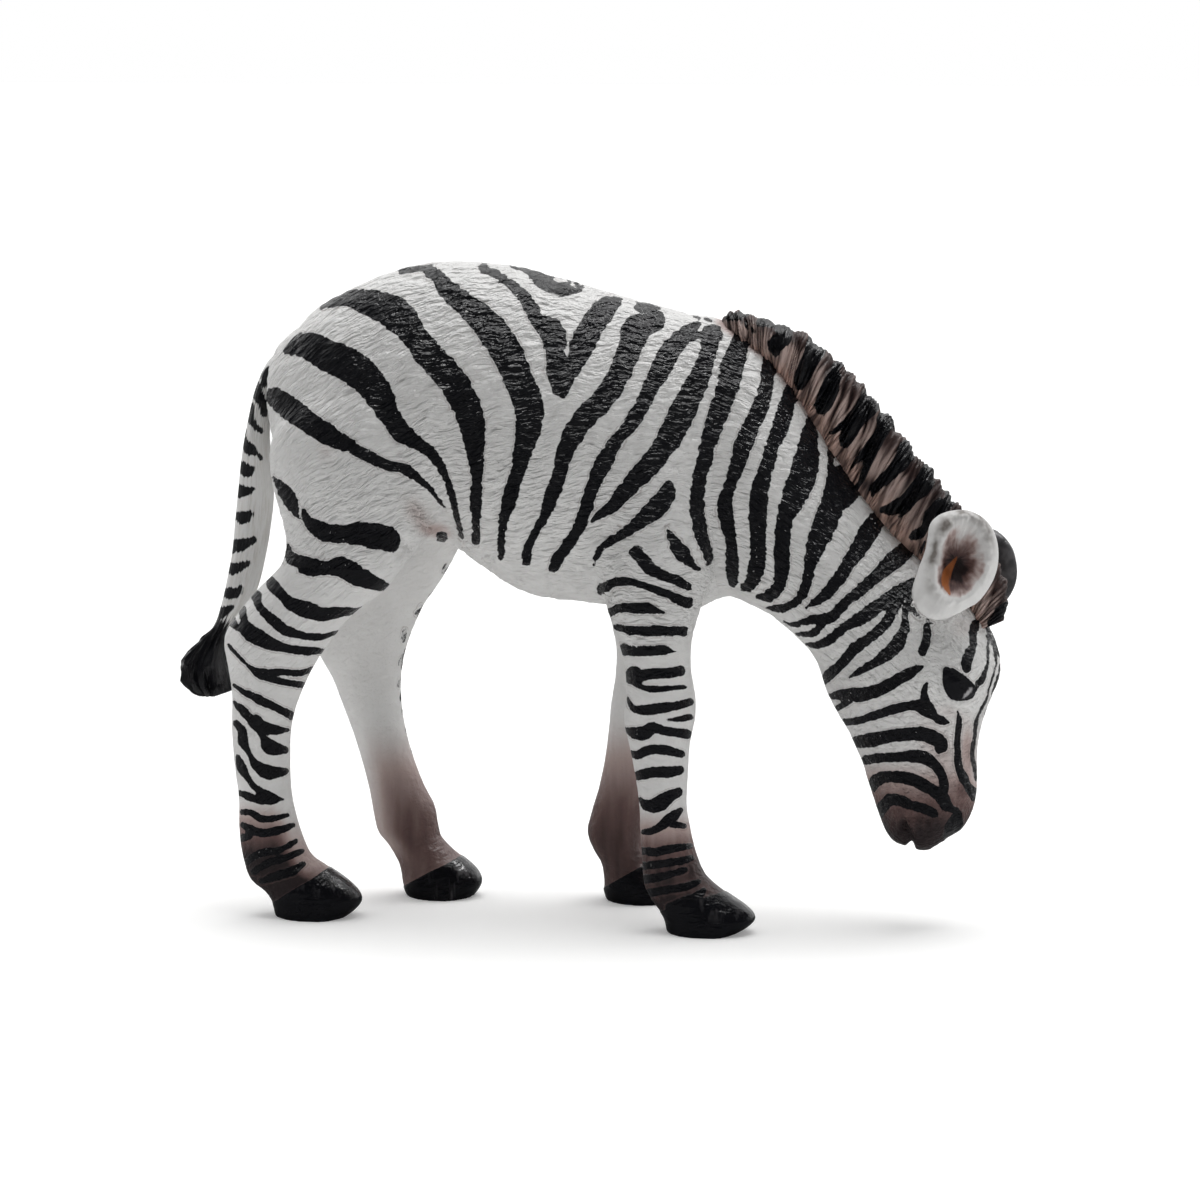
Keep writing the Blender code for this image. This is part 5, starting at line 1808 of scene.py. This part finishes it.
# A plain studio: a white floor, a bright sky that is darker on the camera's side, a broad lamp and two glints
studio = {
    "floorSize": 8.0,
    "floorColour": (0.92, 0.92, 0.915),
    "floorGlow": 0.20,  # seen by the camera only, so that the open floor is as white as the backdrop
    "floorFront": (0.46, 0.46, 0.46),  # the floor in front of the figure, as it lights the figure
    "floorGloss": (0.16, 0.16, 0.16),  # the floor as the glossy paint mirrors it
    "sky": 0.88,
    "backShare": 0.62,  # the sky far behind the figure, as a share of the rest
    "skyFront": 0.03,
    # strength, angle, turn in degrees, and whether it lights more than the gloss
    "lamps": {
        "broadLamp": (1.85, 50, (-9, 4), True),
        "overheadGlint": (0.60, 14, (-4, -12), False),
        "rightGlint": (0.70, 12, (-20, 32), False),
    },
}


def addFloor():
    side = studio["floorSize"] / 2
    corners = np.array([(-side, -side, 0), (side, -side, 0), (side, side, 0), (-side, side, 0)])
    mesh = meshFrom("floor", corners, np.array([[0, 1, 2, 3]]))
    floor = addObject("floor", mesh)
    material, tree, shader = startMaterial("floorCard")
    # the camera sees one even colour, and every other ray a floor that is darker on the camera's side
    depth = addNode(tree, "ShaderNodeSeparateXYZ", {0: readCoordinates(tree)}).outputs["Y"]
    rays = addNode(tree, "ShaderNodeLightPath", {}).outputs
    even = calculate("MAXIMUM", rays["Is Camera Ray"], fade(depth, -220 * mm, -40 * mm))
    colour = mixColour(even, studio["floorFront"], studio["floorColour"])
    setInputs(shader, {
        "Base Color": mixColour(rays["Is Glossy Ray"], colour, studio["floorGloss"]),
        "Roughness": 0.9,
        "Specular IOR Level": 0.1,
        "Emission Color": (1, 1, 1, 1),
        "Emission Strength": times(rays["Is Camera Ray"], studio["floorGlow"]),
    })
    mesh.materials.append(material)


def addSky():
    # the camera sees white; what lights the figure is dimmer, and dark on the camera's side
    world = bpy.data.worlds.new("studioWorld")
    world.use_nodes = True
    tree = world.node_tree
    side = addNode(tree, "ShaderNodeSeparateXYZ", {0: readCoordinates(tree, "Generated")}).outputs["Y"]
    rays = addNode(tree, "ShaderNodeLightPath", {}).outputs
    behind = blend(fade(side, 0.35, 0.90), studio["sky"], studio["sky"] * studio["backShare"])
    lit = blend(fade(side, -0.85, 0.10), studio["skyFront"], behind)
    inGloss = blend(fade(side, 0.0, 0.8), studio["skyFront"], 1.0)
    seen = calculate("MAXIMUM", rays["Is Camera Ray"], rays["Is Transmission Ray"])
    strength = blend(seen, blend(rays["Is Glossy Ray"], lit, inGloss), 1.0)
    setInputs(tree.nodes["Background"], {"Color": (1, 1, 1, 1), "Strength": strength})
    bpy.context.scene.world = world


def addLamps():
    for name, (strength, angle, turn, lights) in studio["lamps"].items():
        data = bpy.data.lights.new(name, "SUN")
        data.energy = strength
        data.angle = math.radians(angle)
        lamp = addObject(name, data)
        lamp.rotation_euler = (math.radians(turn[0]), math.radians(turn[1]), 0)
        lamp.visible_diffuse = lights


addFloor()
addSky()
addLamps()
bpy.context.scene.view_settings.view_transform = "Standard"
print("studio done")
